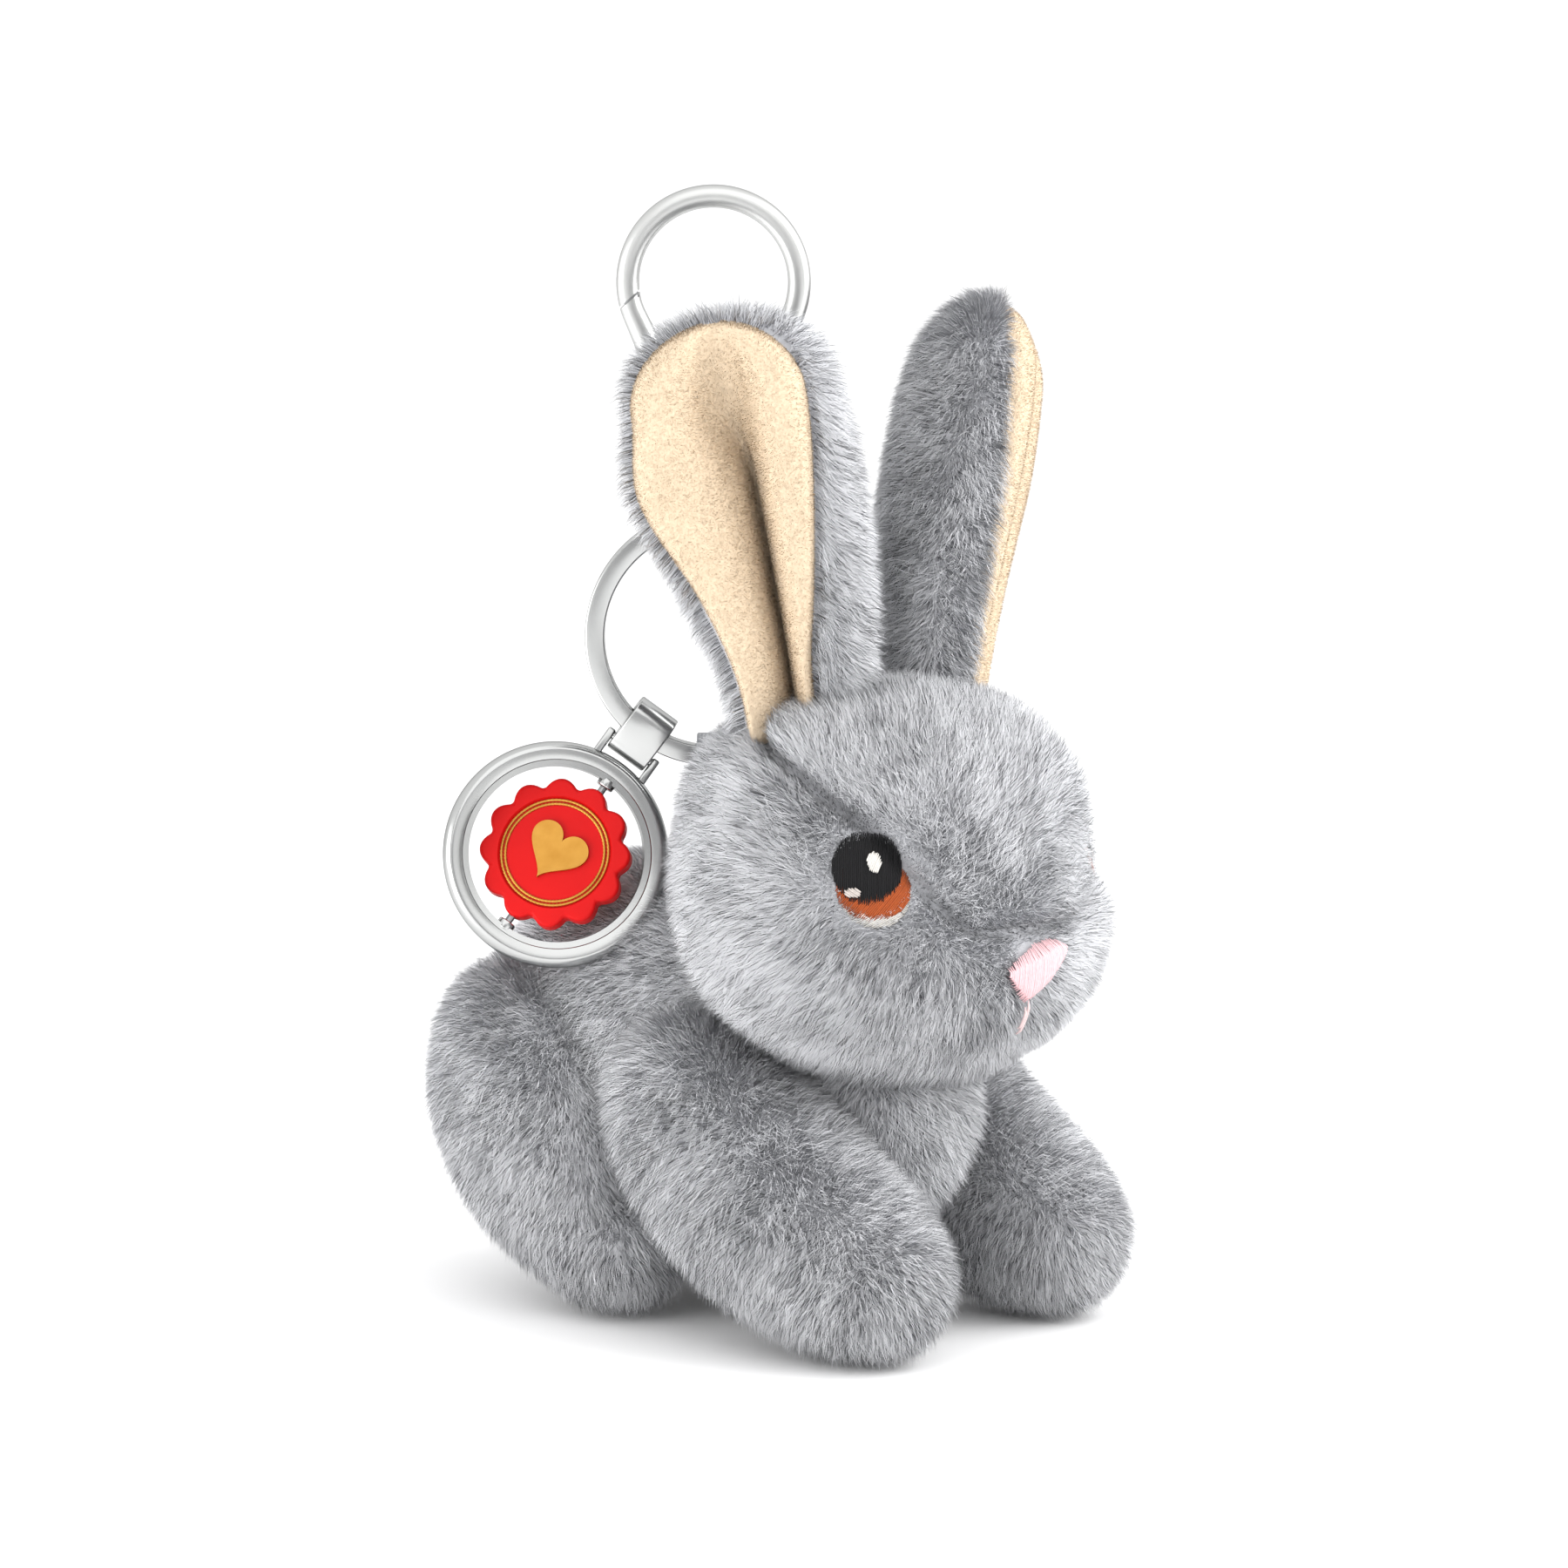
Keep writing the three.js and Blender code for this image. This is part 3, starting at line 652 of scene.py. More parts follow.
def fibres(
    name,
    skin,
    per_mm2,
    length,
    flow,
    seed,
    sunk,
    wide,
    lean,
    straight,
    keep=None,
    shorter=None,
    clump=0.9,
    pull=0.08,
    jitter=0.3,
    tousle=0.3,
    dim=None,
    floor=FLOOR + 0.05,
):
    """A pile of flat tapered fibres over a skin: each leans from its root and bends further to its tip.

    sunk tells how deep each of the skin's points lies in other skins, flow gives the brushed direction at
    each root, keep says which roots stay, shorter scales lengths and dim scales tones, which paints shade
    into them. Tips in one clump draw together.
    """
    random = np.random.default_rng(seed)
    mesh = skin.data
    mesh.calc_loop_triangles()
    count = len(mesh.loop_triangles)
    corners = np.zeros(count * 3, int)
    mesh.loop_triangles.foreach_get("vertices", corners)
    corners = corners.reshape(-1, 3)
    points = positions(skin)
    normals = np.zeros(len(points) * 3)
    mesh.vertex_normals.foreach_get("vector", normals)
    normals = normals.reshape(-1, 3)
    a, b, c = (points[corners[:, k]] for k in range(3))
    areas = np.linalg.norm(np.cross(b - a, c - a), axis=1) / 2
    total = int(areas.sum() * per_mm2)
    face = random.choice(count, total, p=areas / areas.sum())
    u, v = random.random((2, total))
    fold = u + v > 1
    u, v = np.where(fold, 1 - u, u), np.where(fold, 1 - v, v)
    share = np.stack([1 - u - v, u, v], 1)
    root = (points[corners[face]] * share[:, :, None]).sum(1)
    normal = units((normals[corners[face]] * share[:, :, None]).sum(1))
    kept = (sunk[corners[face]] * share).sum(1) < HIDDEN_DEPTH
    if keep is not None:
        kept &= keep(root)
    root, normal = root[kept], normal[kept]
    total = len(root)
    brushed = flow(root, normal) + random.normal(0, jitter, (total, 3))
    brushed += tousle * swirl(root, 16.0, seed) + 0.8 * tousle * swirl(root, 5.0, seed + 1)
    brushed = units(brushed - normal * (brushed * normal).sum(1)[:, None])
    reach = length * random.uniform(0.72, 1.1, total)
    if shorter is not None:
        reach *= shorter(root)
    low, high = np.radians(lean[0]), np.radians(lean[1])
    tilt = random.normal(0, 0.09, total) + 0.10 * swirl(root, 7.0, seed + 2)[:, 0]
    first = normal * np.cos(low + tilt)[:, None] + brushed * np.sin(low + tilt)[:, None]
    second = normal * np.cos(high + tilt)[:, None] + brushed * np.sin(high + tilt)[:, None]
    base = root - normal * ROOT_DEPTH
    knee = root + first * (reach * KNEE)[:, None]
    tip = knee + second * (reach * (1 - KNEE))[:, None]
    # Clumps are the cells of a wavy lattice.
    cell = np.floor(root / clump + 0.35 * np.sin(root[:, [1, 2, 0]] * 2.1 / clump)).astype(int)
    _, member = np.unique(cell, axis=0, return_inverse=True)
    member = member.ravel()
    size = np.bincount(member)
    centre = np.stack([np.bincount(member, tip[:, k]) / size for k in range(3)], 1)
    tip += (centre[member] - tip) * (pull * random.uniform(0.4, 1.0, total))[:, None]
    clump_tone = random.uniform(0, 1, len(size))[member]
    for place in (knee, tip):
        place[:, 2] = np.maximum(place[:, 2], floor)
    spread = np.cross(first, normal) + random.normal(0, 0.35, (total, 3))
    spread = units(spread - first * (spread * first).sum(1)[:, None])
    half = (wide * random.uniform(0.7, 1.2, total) / 2)[:, None]
    rows = [base - spread * half, base + spread * half]
    if not straight:
        rows += [knee - spread * half * 0.85, knee + spread * half * 0.85]
    verts = np.stack([*rows, tip], 1).reshape(-1, 3)
    tone = np.clip(0.72 + 0.16 * random.random(total) + 0.14 * clump_tone, 0, 1)
    # dim lowers tones as painted shade; the head uses it for the shade down in its seams.
    if dim is not None:
        tone *= dim(root)
    normal = units(normal + random.normal(0, 0.05, (total, 3)) + 0.06 * brushed)
    return fibre_mesh(name, verts, normal, tone, total, straight)


def fibre_mesh(name, verts, normal, tone, total, straight):
    """Each fibre is a triangle, or a four-sided face and a triangle, lit like the skin under it."""
    if straight:
        each, corners, starts, sizes = 3, [0, 1, 2], [0], [3]
        across, up = [-1, 1, 0], [0.01, 0.01, 0.99]
    else:
        each, corners, starts, sizes = 5, [0, 1, 3, 2, 2, 3, 4], [0, 4], [4, 3]
        across, up = [-1, 1, 1, -1, -1, 1, 0], [0.01, 0.01, 0.5, 0.5, 0.5, 0.5, 0.99]
    loops = len(corners)
    mesh = bpy.data.meshes.new(name)
    mesh.vertices.add(total * each)
    mesh.vertices.foreach_set("co", verts.ravel())
    mesh.loops.add(total * loops)
    numbers = np.arange(total)[:, None]
    mesh.loops.foreach_set("vertex_index", (numbers * each + corners).ravel())
    mesh.polygons.add(total * len(starts))
    mesh.polygons.foreach_set("loop_start", (numbers * loops + starts).ravel())
    mesh.polygons.foreach_set("loop_total", np.tile(sizes, total))
    mesh.polygons.foreach_set("use_smooth", np.ones(total * len(starts), bool))
    mesh.update(calc_edges=True)
    layer = mesh.uv_layers.new(name=PILE_MAP)
    tones = 0.01 + 0.98 * tone[:, None] * np.ones(loops) + np.array(across) * 0.006
    uv = np.stack([tones, np.tile(up, (total, 1))], 2)
    layer.uv.foreach_set("vector", np.clip(uv, 0.001, 0.999).astype(np.float32).ravel())
    mesh.normals_split_custom_set_from_vertices(np.repeat(normal, each, axis=0))
    made = bpy.data.objects.new(name, mesh)
    bpy.context.scene.collection.objects.link(made)
    return made


def settled(obj, material, body, place):
    """A pile in its place; its own normals stay."""
    obj.data.transform(place)
    obj.data.materials.append(material)
    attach(obj, body)
    return obj


# ---------------------------------------------------------------- rabbit: head

HEAD_CENTRE = np.array([0.0, -25.8, -75.1])
HEAD_SIZE = np.array([24.5, 20.5, 21.0])
HEAD_TURN = math.radians(-5)  # a glance to its right
EYE_TURN = math.radians(50)
NOSE_AHEAD = np.array([-0.01, -1, -0.32])
STITCH_AHEAD = np.array([-0.01, -1, -0.60])


def eye_ahead(side):
    """From the head's middle to an eye."""
    turn = EYE_TURN + (math.radians(3) if side > 0 else 0)
    return unit([side * math.sin(turn), -math.cos(turn), 0.15])


def bulge(ways, towards, height, spread):
    """A round rise of that height, fading over a spread in radians."""
    angle = np.arccos(np.clip(ways @ unit(towards), -1, 1))
    return height * np.exp(-((angle / spread) ** 2))


def groove(ways, start, end, depth, spread):
    """A crease along the great arc from one direction to another."""
    start, end = unit(start), unit(end)
    fall = np.zeros(len(ways))
    for t in np.linspace(0, 1, 12):
        way = unit(start * (1 - t) + end * t)
        angle = np.arccos(np.clip(ways @ way, -1, 1))
        fall = np.maximum(fall, np.exp(-((angle / spread) ** 2)))
    return -depth * fall


SEAM = [  # the right side's seam, from the ear's foot past the eye to the bridge of the nose
    (-0.66, 0.22, 0.72),
    (-0.749, 0.079, 0.657),
    (-0.807, -0.126, 0.577),
    (-0.819, -0.312, 0.482),
    (-0.789, -0.450, 0.419),
    (-0.755, -0.559, 0.340),
    (-0.710, -0.677, 0.195),
    (-0.653, -0.752, 0.089),
    (-0.580, -0.814, -0.022),
    (-0.448, -0.882, -0.130),
    (-0.300, -0.940, -0.160),
    (-0.120, -0.980, -0.165),
]
SEAM_DEPTH = 2.0
SEAM_SPREAD = 0.05
SEAM_FINE = smooth_path(SEAM, 60)
SEAM_FINE[:, :2] = SEAM_FINE[:, :2] @ np.array([[0.9962, 0.0872], [-0.0872, 0.9962]])  # undoes the glance
SEAM_FINE = units(SEAM_FINE)
# Fullness over the plain ball: the way to it from the head's middle, its height and its spread.
HEAD_MIDDLE_BULGES = [
    ((0, -1, -0.42), 2.4, 0.5),  # muzzle
    ((0, -0.8, -0.95), 1.6, 0.45),  # chin
]
HEAD_SIDE_BULGES = [
    ((0.8, -0.35, -0.5), 1.2, 0.6),  # jowl
    ((0.62, -0.74, -0.42), 1.5, 0.40),  # cheek
    ((0.60, 0.58, 0.58), 2.2, 0.34),  # back of the crown
    ((0.30, -1, -0.66), 0.8, 0.22),  # lip
    ((0.55, -0.66, 0.5), 1.3, 0.35),  # brow
    ((0.75, -0.05, 0.66), 2.2, 0.28),  # foot of the ear
]


def head_radius(ways):
    """How far the skin lies from the head's middle, each way."""
    ways = np.atleast_2d(ways)
    radius = 1 / np.linalg.norm(ways / HEAD_SIZE, axis=1)
    for towards, height, spread in HEAD_MIDDLE_BULGES:
        radius += bulge(ways, towards, height, spread)
    for side in (-1, 1):
        for (across, back, up), height, spread in HEAD_SIDE_BULGES:
            radius += bulge(ways, (side * across, back, up), height, spread)
        radius += bulge(ways, eye_ahead(side), -1.0, 0.24)
        radius += groove(ways, (side * 0.05, -0.74, -0.76), (side * 0.22, -0.66, -0.74), 0.9, 0.06)
        seam = SEAM_FINE * [-side, 1, 1]
        angle = np.arccos(np.clip((ways @ seam.T).max(axis=1), -1, 1))
        radius -= SEAM_DEPTH * np.exp(-((angle / SEAM_SPREAD) ** 2))
    return radius


def turned(points):
    """Points turned with the head, about the upright line through its middle."""
    out = np.array(points, float) - HEAD_CENTRE
    cos, sin = math.cos(HEAD_TURN), math.sin(HEAD_TURN)
    across, back = out[:, 0].copy(), out[:, 1].copy()
    out[:, 0], out[:, 1] = across * cos - back * sin, across * sin + back * cos
    return out + HEAD_CENTRE


def on_head(ways):
    """Points on the head's skin."""
    ways = units(np.atleast_2d(ways))
    return turned(HEAD_CENTRE + ways * head_radius(ways)[:, None])


def head_skin():
    """A ball drawn out to the head's shape."""
    made = ball("head_cover", 96, 64)
    reshape(made, on_head(positions(made)))
    return closed_up(made)


# ---------------------------------------------------------------- rabbit: body and legs

# Stations of [x, y, z, half width, half height], from the tail forwards or from the hip or shoulder down.
BODY_SPINE = [
    [0, 29, -99, 16, 19.5],
    [0, 18, -100, 19, 22.5],
    [0, 4, -99.5, 18.5, 23.5],
    [0, -10, -100, 16.8, 22],
    [0, -22, -102, 15, 18.8],
    [0, -33, -104, 12, 14],
]
FRONT_LEG = [
    [-13.5, -4, -94, 9.5, 11],
    [-15.5, -12.5, -102, 10.5, 12],
    [-16.5, -24, -111, 9.8, 11],
    [-16.3, -36, -116.5, 8.8, 9.4],
    [-16.0, -44.0, -117.8, 7.4, 7.8],
]
HIND_LEG = [
    [-11, 23, -90.5, 11, 13],
    [-12, 16, -100, 12.5, 14.5],
    [-14, 9.5, -109.5, 11, 12.5],
    [-15.5, 2, -117, 8, 8.2],
    [-15.5, -5.5, -117.8, 6.8, 7],
]


# ---------------------------------------------------------------- rabbit: ears

EAR_LENGTH = 47.5
EAR_FOOT = {-1: (-14.4, -22.5, -58.5), 1: (17.5, -25.6, -58.5)}
EAR_LEAN = {-1: math.radians(12), 1: math.radians(15)}
EAR_BACKWARD = math.radians(1.5)
EAR_YAW = {-1: math.radians(50), 1: math.radians(34)}
# The ear's section at six heights, as shares of its length. Across runs from the outer rim to the rim by
# the nose, and out is towards the side the lining faces. The lining falls down a long slope to a valley
# and climbs a roll.
EAR_LINING = [
    (-0.05, [(-3.6, -1.0), (-3.2, -0.3), (-2.1, -0.7), (-0.6, -2.0), (0.8, -4.0), (1.8, -6.2), (2.0, -4.2),
             (2.4, -2.2), (3.0, -1.2), (3.6, -1.4), (3.9, -2.2)]),
    (0.16, [(-4.0, -1.0), (-3.5, -0.2), (-2.3, -0.6), (-0.6, -2.0), (0.8, -4.0), (1.9, -6.6), (2.15, -4.0),
            (2.6, -2.0), (3.3, -1.0), (3.9, -1.2), (4.3, -2.1)]),
    (0.37, [(-6.7, -1.2), (-6.1, 0.0), (-4.3, 0.0), (-1.8, -1.4), (0.2, -3.8), (1.7, -7.4), (2.05, -4.0),
            (2.8, -1.3), (4.2, -0.1), (5.5, -0.5), (6.1, -1.7)]),
    (0.615, [(-11.5, -1.1), (-10.6, 0.6), (-7.5, 0.6), (-3.5, -1.3), (-0.6, -4.2), (1.3, -7.4), (1.8, -4.2),
             (2.9, -0.6), (4.8, 0.7), (6.9, 0.1), (7.8, -1.4)]),
    (0.80, [(-10.9, -1.5), (-10.2, 0.2), (-7.6, 0.8), (-4.7, -1.0), (-2.8, -3.6), (-0.6, -5.0), (1.4, -3.8),
            (3.0, -0.8), (5.2, 0.7), (7.6, -0.2), (8.5, -1.8)]),
    (1.0, [(-10.5, -2.5), (-9.6, -0.9), (-7.0, 0.0), (-4.6, -0.5), (-2.5, -1.4), (-0.6, -1.8), (1.6, -1.3),
           (3.4, -0.5), (5.4, -0.3), (7.2, -1.2), (8.0, -3.0)]),
]
EAR_BACK = [
    (-0.05, [(3.9, -2.4), (6.6, -3.2), (9.0, -5.5), (8.6, -8.2), (5.8, -10.0), (1.8, -9.6), (-1.8, -7.3),
             (-4.1, -4.4), (-3.9, -2.1)]),
    (0.16, [(4.3, -2.3), (7.5, -3.0), (10.0, -5.5), (9.6, -8.5), (6.5, -10.4), (2.0, -10.0), (-2.0, -7.5),
            (-4.6, -4.5), (-4.3, -2.0)]),
    (0.37, [(6.1, -2.0), (9.2, -3.0), (11.4, -6.2), (10.8, -9.6), (7.2, -11.9), (1.5, -11.7), (-4.0, -9.0),
            (-7.6, -5.2), (-7.1, -2.4)]),
    (0.615, [(7.8, -1.8), (10.1, -2.9), (11.6, -6.0), (10.8, -9.4), (7.2, -11.8), (1.0, -12.0), (-5.0, -9.2),
             (-9.6, -5.2), (-11.6, -2.2)]),
    (0.80, [(8.5, -2.2), (10.2, -3.2), (11.0, -5.6), (9.9, -8.8), (6.3, -11.0), (-0.5, -11.3), (-6.0, -8.6),
            (-9.6, -4.8), (-10.9, -2.5)]),
    (1.0, [(8.1, -3.4), (10.0, -4.2), (10.8, -5.8), (9.6, -7.8), (6.2, -9.2), (-0.5, -9.4), (-6.0, -7.9),
           (-9.4, -5.6), (-10.6, -3.6)]),
]
EAR_MIDDLE = np.array([-0.6, -4.8])
EAR_ROUNDS = 0.83  # above this the section closes to a round top
EAR_FLOOR = -99  # nothing holds up the ear's pile
EAR_FOOT_CLEAR = 2.0  # the pile starts this far above the seam with the head
LINING_THICK = 0.9
LINING_SUNK = 0.42  # how deep the back's front face lies under the lining's
BACK_SWELL = 1.1


def ramped(x, low, high):
    """0 up to low, 1 from high, and smooth between."""
    t = np.clip((x - low) / (high - low), 0, 1)
    return t * t * t * (t * (t * 6 - 15) + 10)


def ear_path(sections, up, count, pushed=0.0):
    """One side of the section at a height, from rim to rim, and pushed towards the back."""
    rows = smooth_path([[height, *np.ravel(points)] for height, points in sections], 400)
    flat = [np.interp(up, rows[:, 0], rows[:, k]) for k in range(1, rows.shape[1])]
    path = smooth_path(np.reshape(flat, (-1, 2)), count)
    path[:, 1] -= pushed
    if up > EAR_ROUNDS:
        closing = math.sqrt(max(0.0004, 1 - ((up - EAR_ROUNDS) / (1 - EAR_ROUNDS)) ** 2))
        path = EAR_MIDDLE + (path - EAR_MIDDLE) * closing
    return path


def ear_place(side):
    """From the ear's own frame to the rabbit's."""
    turn = Matrix.Rotation(side * EAR_LEAN[side], 4, "Y") @ Matrix.Rotation(-EAR_BACKWARD, 4, "X")
    turn = turn @ Matrix.Rotation(side * EAR_YAW[side], 4, "Z")
    return Matrix.Translation(EAR_FOOT[side]) @ turn


def ear_cushion(name, side, sections_at, rows=64):
    """A closed piece of the ear from its section's loop at each height."""
    heights = np.sin(np.linspace(0, np.pi / 2, rows)) * 0.999
    loops = np.array([sections_at(up) for up in heights])
    count = loops.shape[1]
    deselect()
    bpy.ops.mesh.primitive_grid_add(x_subdivisions=count, y_subdivisions=rows - 1, size=1)
    made = started(name)
    grid = positions(made)
    column = np.rint((grid[:, 0] + 0.5) * count).astype(int) % count
    row = np.rint((grid[:, 1] + 0.5) * (rows - 1)).astype(int)
    across, out = loops[row, column].T
    reshape(made, np.stack([-side * across, -out, heights[row] * EAR_LENGTH], 1))
    return filled(closed_up(made, 1e-3))


def ear_lining(up):
    """The lining's loop at a height: its face, and its back from rim to rim again."""
    front = ear_path(EAR_LINING, up, 56)
    return np.vstack([front, ear_path(EAR_LINING, up, 56, LINING_THICK)[::-1]])


def ear_back(up):
    """The back's loop at a height: a front that follows the lining, and the round behind."""
    front = ear_path(EAR_LINING, up, 56, LINING_SUNK)
    return np.vstack([front, ear_path(EAR_BACK, up, 44) * [1, BACK_SWELL]])


def ear_flow(root, normal):
    """Down the ear, and a little out to both rims."""
    return np.stack([0.25 * np.sign(root[:, 0]), 0.35 + 0 * root[:, 0], -np.ones(len(root))], 1)


def above_foot(root):
    return root[:, 2] > EAR_FOOT_CLEAR


# ---------------------------------------------------------------- rabbit: embroidery


def stitched(name, ahead, chords, angle, thread, lift, crown=0.25, seed=1):
    """Satin stitch on the head: side-by-side threads, each laid over one chord of the shape.

    chords(offset) gives the two ends of the chord at that offset, or None past the shape's edge. Threads run
    at angle from the patch's across axis.
    """
    random = np.random.default_rng(seed)
    ahead = unit(ahead)
    side = unit(np.cross(ahead, (0, 0, 1)))
    above = np.cross(side, ahead)
    along = np.array([math.cos(angle), math.sin(angle)])
    over = np.array([-along[1], along[0]])
    centre_radius = float(head_radius(ahead[None])[0])
    verts, faces, uvs = [], [], []
    ring, segments = 6, 7
    for number, offset in enumerate(np.arange(-8, 8, thread * 0.82)):
        ends = chords(offset)
        if ends is None or ends[1] - ends[0] < thread:
            continue
        start, stop = ends[0] + random.uniform(-0.1, 0.1), ends[1] + random.uniform(-0.1, 0.1)
        t = np.linspace(0, 1, segments)
        flat = (start + (stop - start) * t)[:, None] * along + (offset + random.uniform(-0.02, 0.02)) * over
        ways = ahead * centre_radius + flat[:, :1] * side + flat[:, 1:] * above
        dome = lift + crown * np.sqrt(np.maximum(0, 1 - (2 * t - 1) ** 4)) + random.uniform(-0.03, 0.03)
        ways = units(ways)
        path = HEAD_CENTRE + ways * (head_radius(ways) + dome)[:, None]
        cross = units(np.cross(np.gradient(path, axis=0), ways))
        first = len(verts)
        for k in range(segments):
            radius = thread / 2 * (0.55 if k in (0, segments - 1) else 1.0)
            for spoke in range(ring):
                turn = 2 * math.pi * spoke / ring
                verts.append(path[k] + (cross[k] * math.cos(turn) + ways[k] * math.sin(turn)) * radius)
        for k in range(segments - 1):
            for spoke in range(ring):
                after = (spoke + 1) % ring
                a = first + k * ring
                faces.append((a + spoke, a + after, a + ring + after, a + ring + spoke))
                u, w = spoke / ring, (spoke + 1) / ring
                low, high = t[k] * (stop - start), t[k + 1] * (stop - start)
                uvs += [(u, low), (w, low), (w, high), (u, high)]
        faces.append(tuple(first + spoke for spoke in range(ring))[::-1])
        faces.append(tuple(first + (segments - 1) * ring + spoke for spoke in range(ring)))
        uvs += [(0, 0)] * (2 * ring)
    mesh = bpy.data.meshes.new(name)
    mesh.from_pydata(turned(verts).tolist(), [], faces)
    layer = mesh.uv_layers.new(name="Thread")
    layer.uv.foreach_set("vector", np.array(uvs, np.float32).ravel())
    made = bpy.data.objects.new(name, mesh)
    bpy.context.scene.collection.objects.link(made)
    deselect()
    bpy.context.view_layer.objects.active = made
    bpy.ops.object.mode_set(mode="EDIT")
    bpy.ops.mesh.select_all(action="SELECT")
    bpy.ops.mesh.normals_make_consistent(inside=False)
    bpy.ops.object.mode_set(mode="OBJECT")
    return made


def ellipse_chords(centre, half, angle):
    """Chords of an ellipse (centre and half sizes in patch millimetres) for threads laid at angle."""
    along = np.array([math.cos(angle), math.sin(angle)])
    over = np.array([-along[1], along[0]])
    scale = 1 / np.array(half)

    def chord(offset):
        # Solve |(along * s + over * offset - centre) * scale| = 1 for s.
        base = (over * offset - np.array(centre)) * scale
        way = along * scale
        a, b, c = way @ way, 2 * base @ way, base @ base - 1
        inside = b * b - 4 * a * c
        if inside <= 0:
            return None
        root = math.sqrt(inside)
        return (-b - root) / (2 * a), (-b + root) / (2 * a)

    return chord


def nose_chords(offset):
    """Upright chords of the nose: a rounded triangle on its point, with a raised left corner."""
    reach = abs(offset) / 4.9
    if reach >= 1:
        return None
    top = 2.15 + 0.22 * offset - 0.045 * offset**2 - 0.6 * reach**8
    from_point = offset + 1.5
    if from_point < 0:
        foot = -3.9 + 1.12 * (-from_point) ** 1.05
    else:
        foot = -3.9 + 0.45 * from_point + 0.075 * from_point**2
    return foot + 0.25 * math.exp(-(from_point**2)), top


# ---------------------------------------------------------------- studio

camera()
world(1.2)
lamp("key", (0, -520, 520), 900, 1.6)
lamp("side", (-620, -260, -160), 700, 3.0)
lamp("flank_fill", (-132, -84, -118), 110, 0.14)
lamp("rim", (620, -120, 260), 700, 5)
card("card_front", (0, -900, -20), 520, 600, (0.36, 0.36, 0.365))
card("card_left", (-430, -620, -60), 90, 900, (0.02, 0.02, 0.022))
card("card_right", (470, -560, -60), 110, 900, (0.03, 0.03, 0.03))
card("card_under", (0, -600, -420), 500, 120, (0.02, 0.02, 0.02))

# ---------------------------------------------------------------- dress the rabbit

# The backing is darker than the pile: painted shade, so bare spots and partings between the fibres read as
# shadow.
plush_cover = cloth_finish("plush_backing", (0.50, 0.505, 0.53), 0.8)
plush_pile = pile_finish("plush_pile", GREY_ROOT, GREY_MIDDLE, GREY_TIP, 0.45)
fleece_cover = cloth_finish("fleece_backing", (0.73, 0.59, 0.43), 0.95)
fleece_pile = pile_finish("fleece_pile", CREAM_ROOT, CREAM_MIDDLE, CREAM_TIP, 0.95)
DENSE = 1.0  # share of the pile's fibres

skins = {"head_cover": head_skin()}
skins["body_cover"] = stuffed("body_cover", BODY_SPINE)
for word, side in (("right", -1), ("left", 1)):
    for kind, spine in (("front", FRONT_LEG), ("hind", HIND_LEG)):
        name = f"{kind}_leg_{word}_cover"
        skins[name] = stuffed(name, [[-side * x, *rest] for x, *rest in spine])
tail = ball("tail_cover", 32, 20)
reshape(tail, positions(tail) * [5, 5.5, 5.5] + [0, 33, -98])
skins["tail_cover"] = tail

trees = {name: surface(skin) for name, skin in skins.items()}


def sunk_in_others(own):
    """How deep each point of one skin lies in the rabbit's others."""
    return depths(positions(skins[own]), [tree for name, tree in trees.items() if name != own])


EMBROIDERY = [  # from the head's middle to a patch, and the patch's radius
    (eye_ahead(-1), 4.35),
    (eye_ahead(1), 4.35),
    (unit(NOSE_AHEAD), 2.7),
    (unit(STITCH_AHEAD), 0.6),
]


def bare_of_thread(root):
    """How far each root lies from the middle of the nearest patch, in patch radii."""
    nearest = np.full(len(root), 9.0)
    for ahead, radius in EMBROIDERY:
        spot = on_head(ahead)[0]
        nearest = np.minimum(nearest, np.linalg.norm(root - spot, axis=1) / radius)
    return nearest


def head_keep(root):
    """No pile under the thread."""
    return bare_of_thread(root) > 0.96


def head_short(root):
    """Shorter round the embroidery, over the muzzle and along the seams."""
    near = bare_of_thread(root)
    far = seam_gap(root)[1]
    muzzle = np.linalg.norm(root - on_head((0, -1, -0.45))[0], axis=1)
    return np.clip(0.35 + 0.65 * ramped(near, 0.95, 1.9), 0, 1) * (
        1 - 0.3 * np.exp(-((muzzle / 12) ** 2)) - 0.62 * np.exp(-((far / 1.7) ** 2))
    )


def head_seam_shade(root):
    """Painted shade: fibre tones darker down in the seams."""
    return 1 - 0.97 * np.exp(-((seam_gap(root)[1] / 1.3) ** 4))


def seam_gap(root):
    """From the nearest seam point to each root: the way across, and how far."""
    best = np.full(len(root), 99.0)
    across = np.zeros((len(root), 3))
    for side in (-1, 1):
        line = on_head(SEAM_FINE * [-side, 1, 1])
        for spot in line:
            gap = root - spot
            far = np.linalg.norm(gap, axis=1)
            nearer = far < best
            best[nearer] = far[nearer]
            across[nearer] = gap[nearer]
    return across / (best[:, None] + 1e-6), best


def head_flow(root, normal):
    """Brushed back and down on the cheeks, up over the brow, and parted along the seams."""
    away = units(root - on_head((0, -1, -0.35))[0])
    across, far = seam_gap(root)
    brow = ramped(normal[:, 2], -0.1, 0.5)[:, None]
    base = away * 0.7 + np.array([0, 0.15, -0.6]) * (1 - brow) + np.array([0, 0.35, -0.1]) * brow
    near = np.exp(-((far / 2.6) ** 2))[:, None]
    return base * (1 - 0.8 * near) + across * near * 1.7


def down_flow(root, normal):
    """Down and a little back."""
    return np.tile([0.0, 0.25, -1.0], (len(root), 1))


def limb_flow(root, normal):
    """Down and a little forwards."""
    return np.tile([0.0, -0.35, -1.0], (len(root), 1))


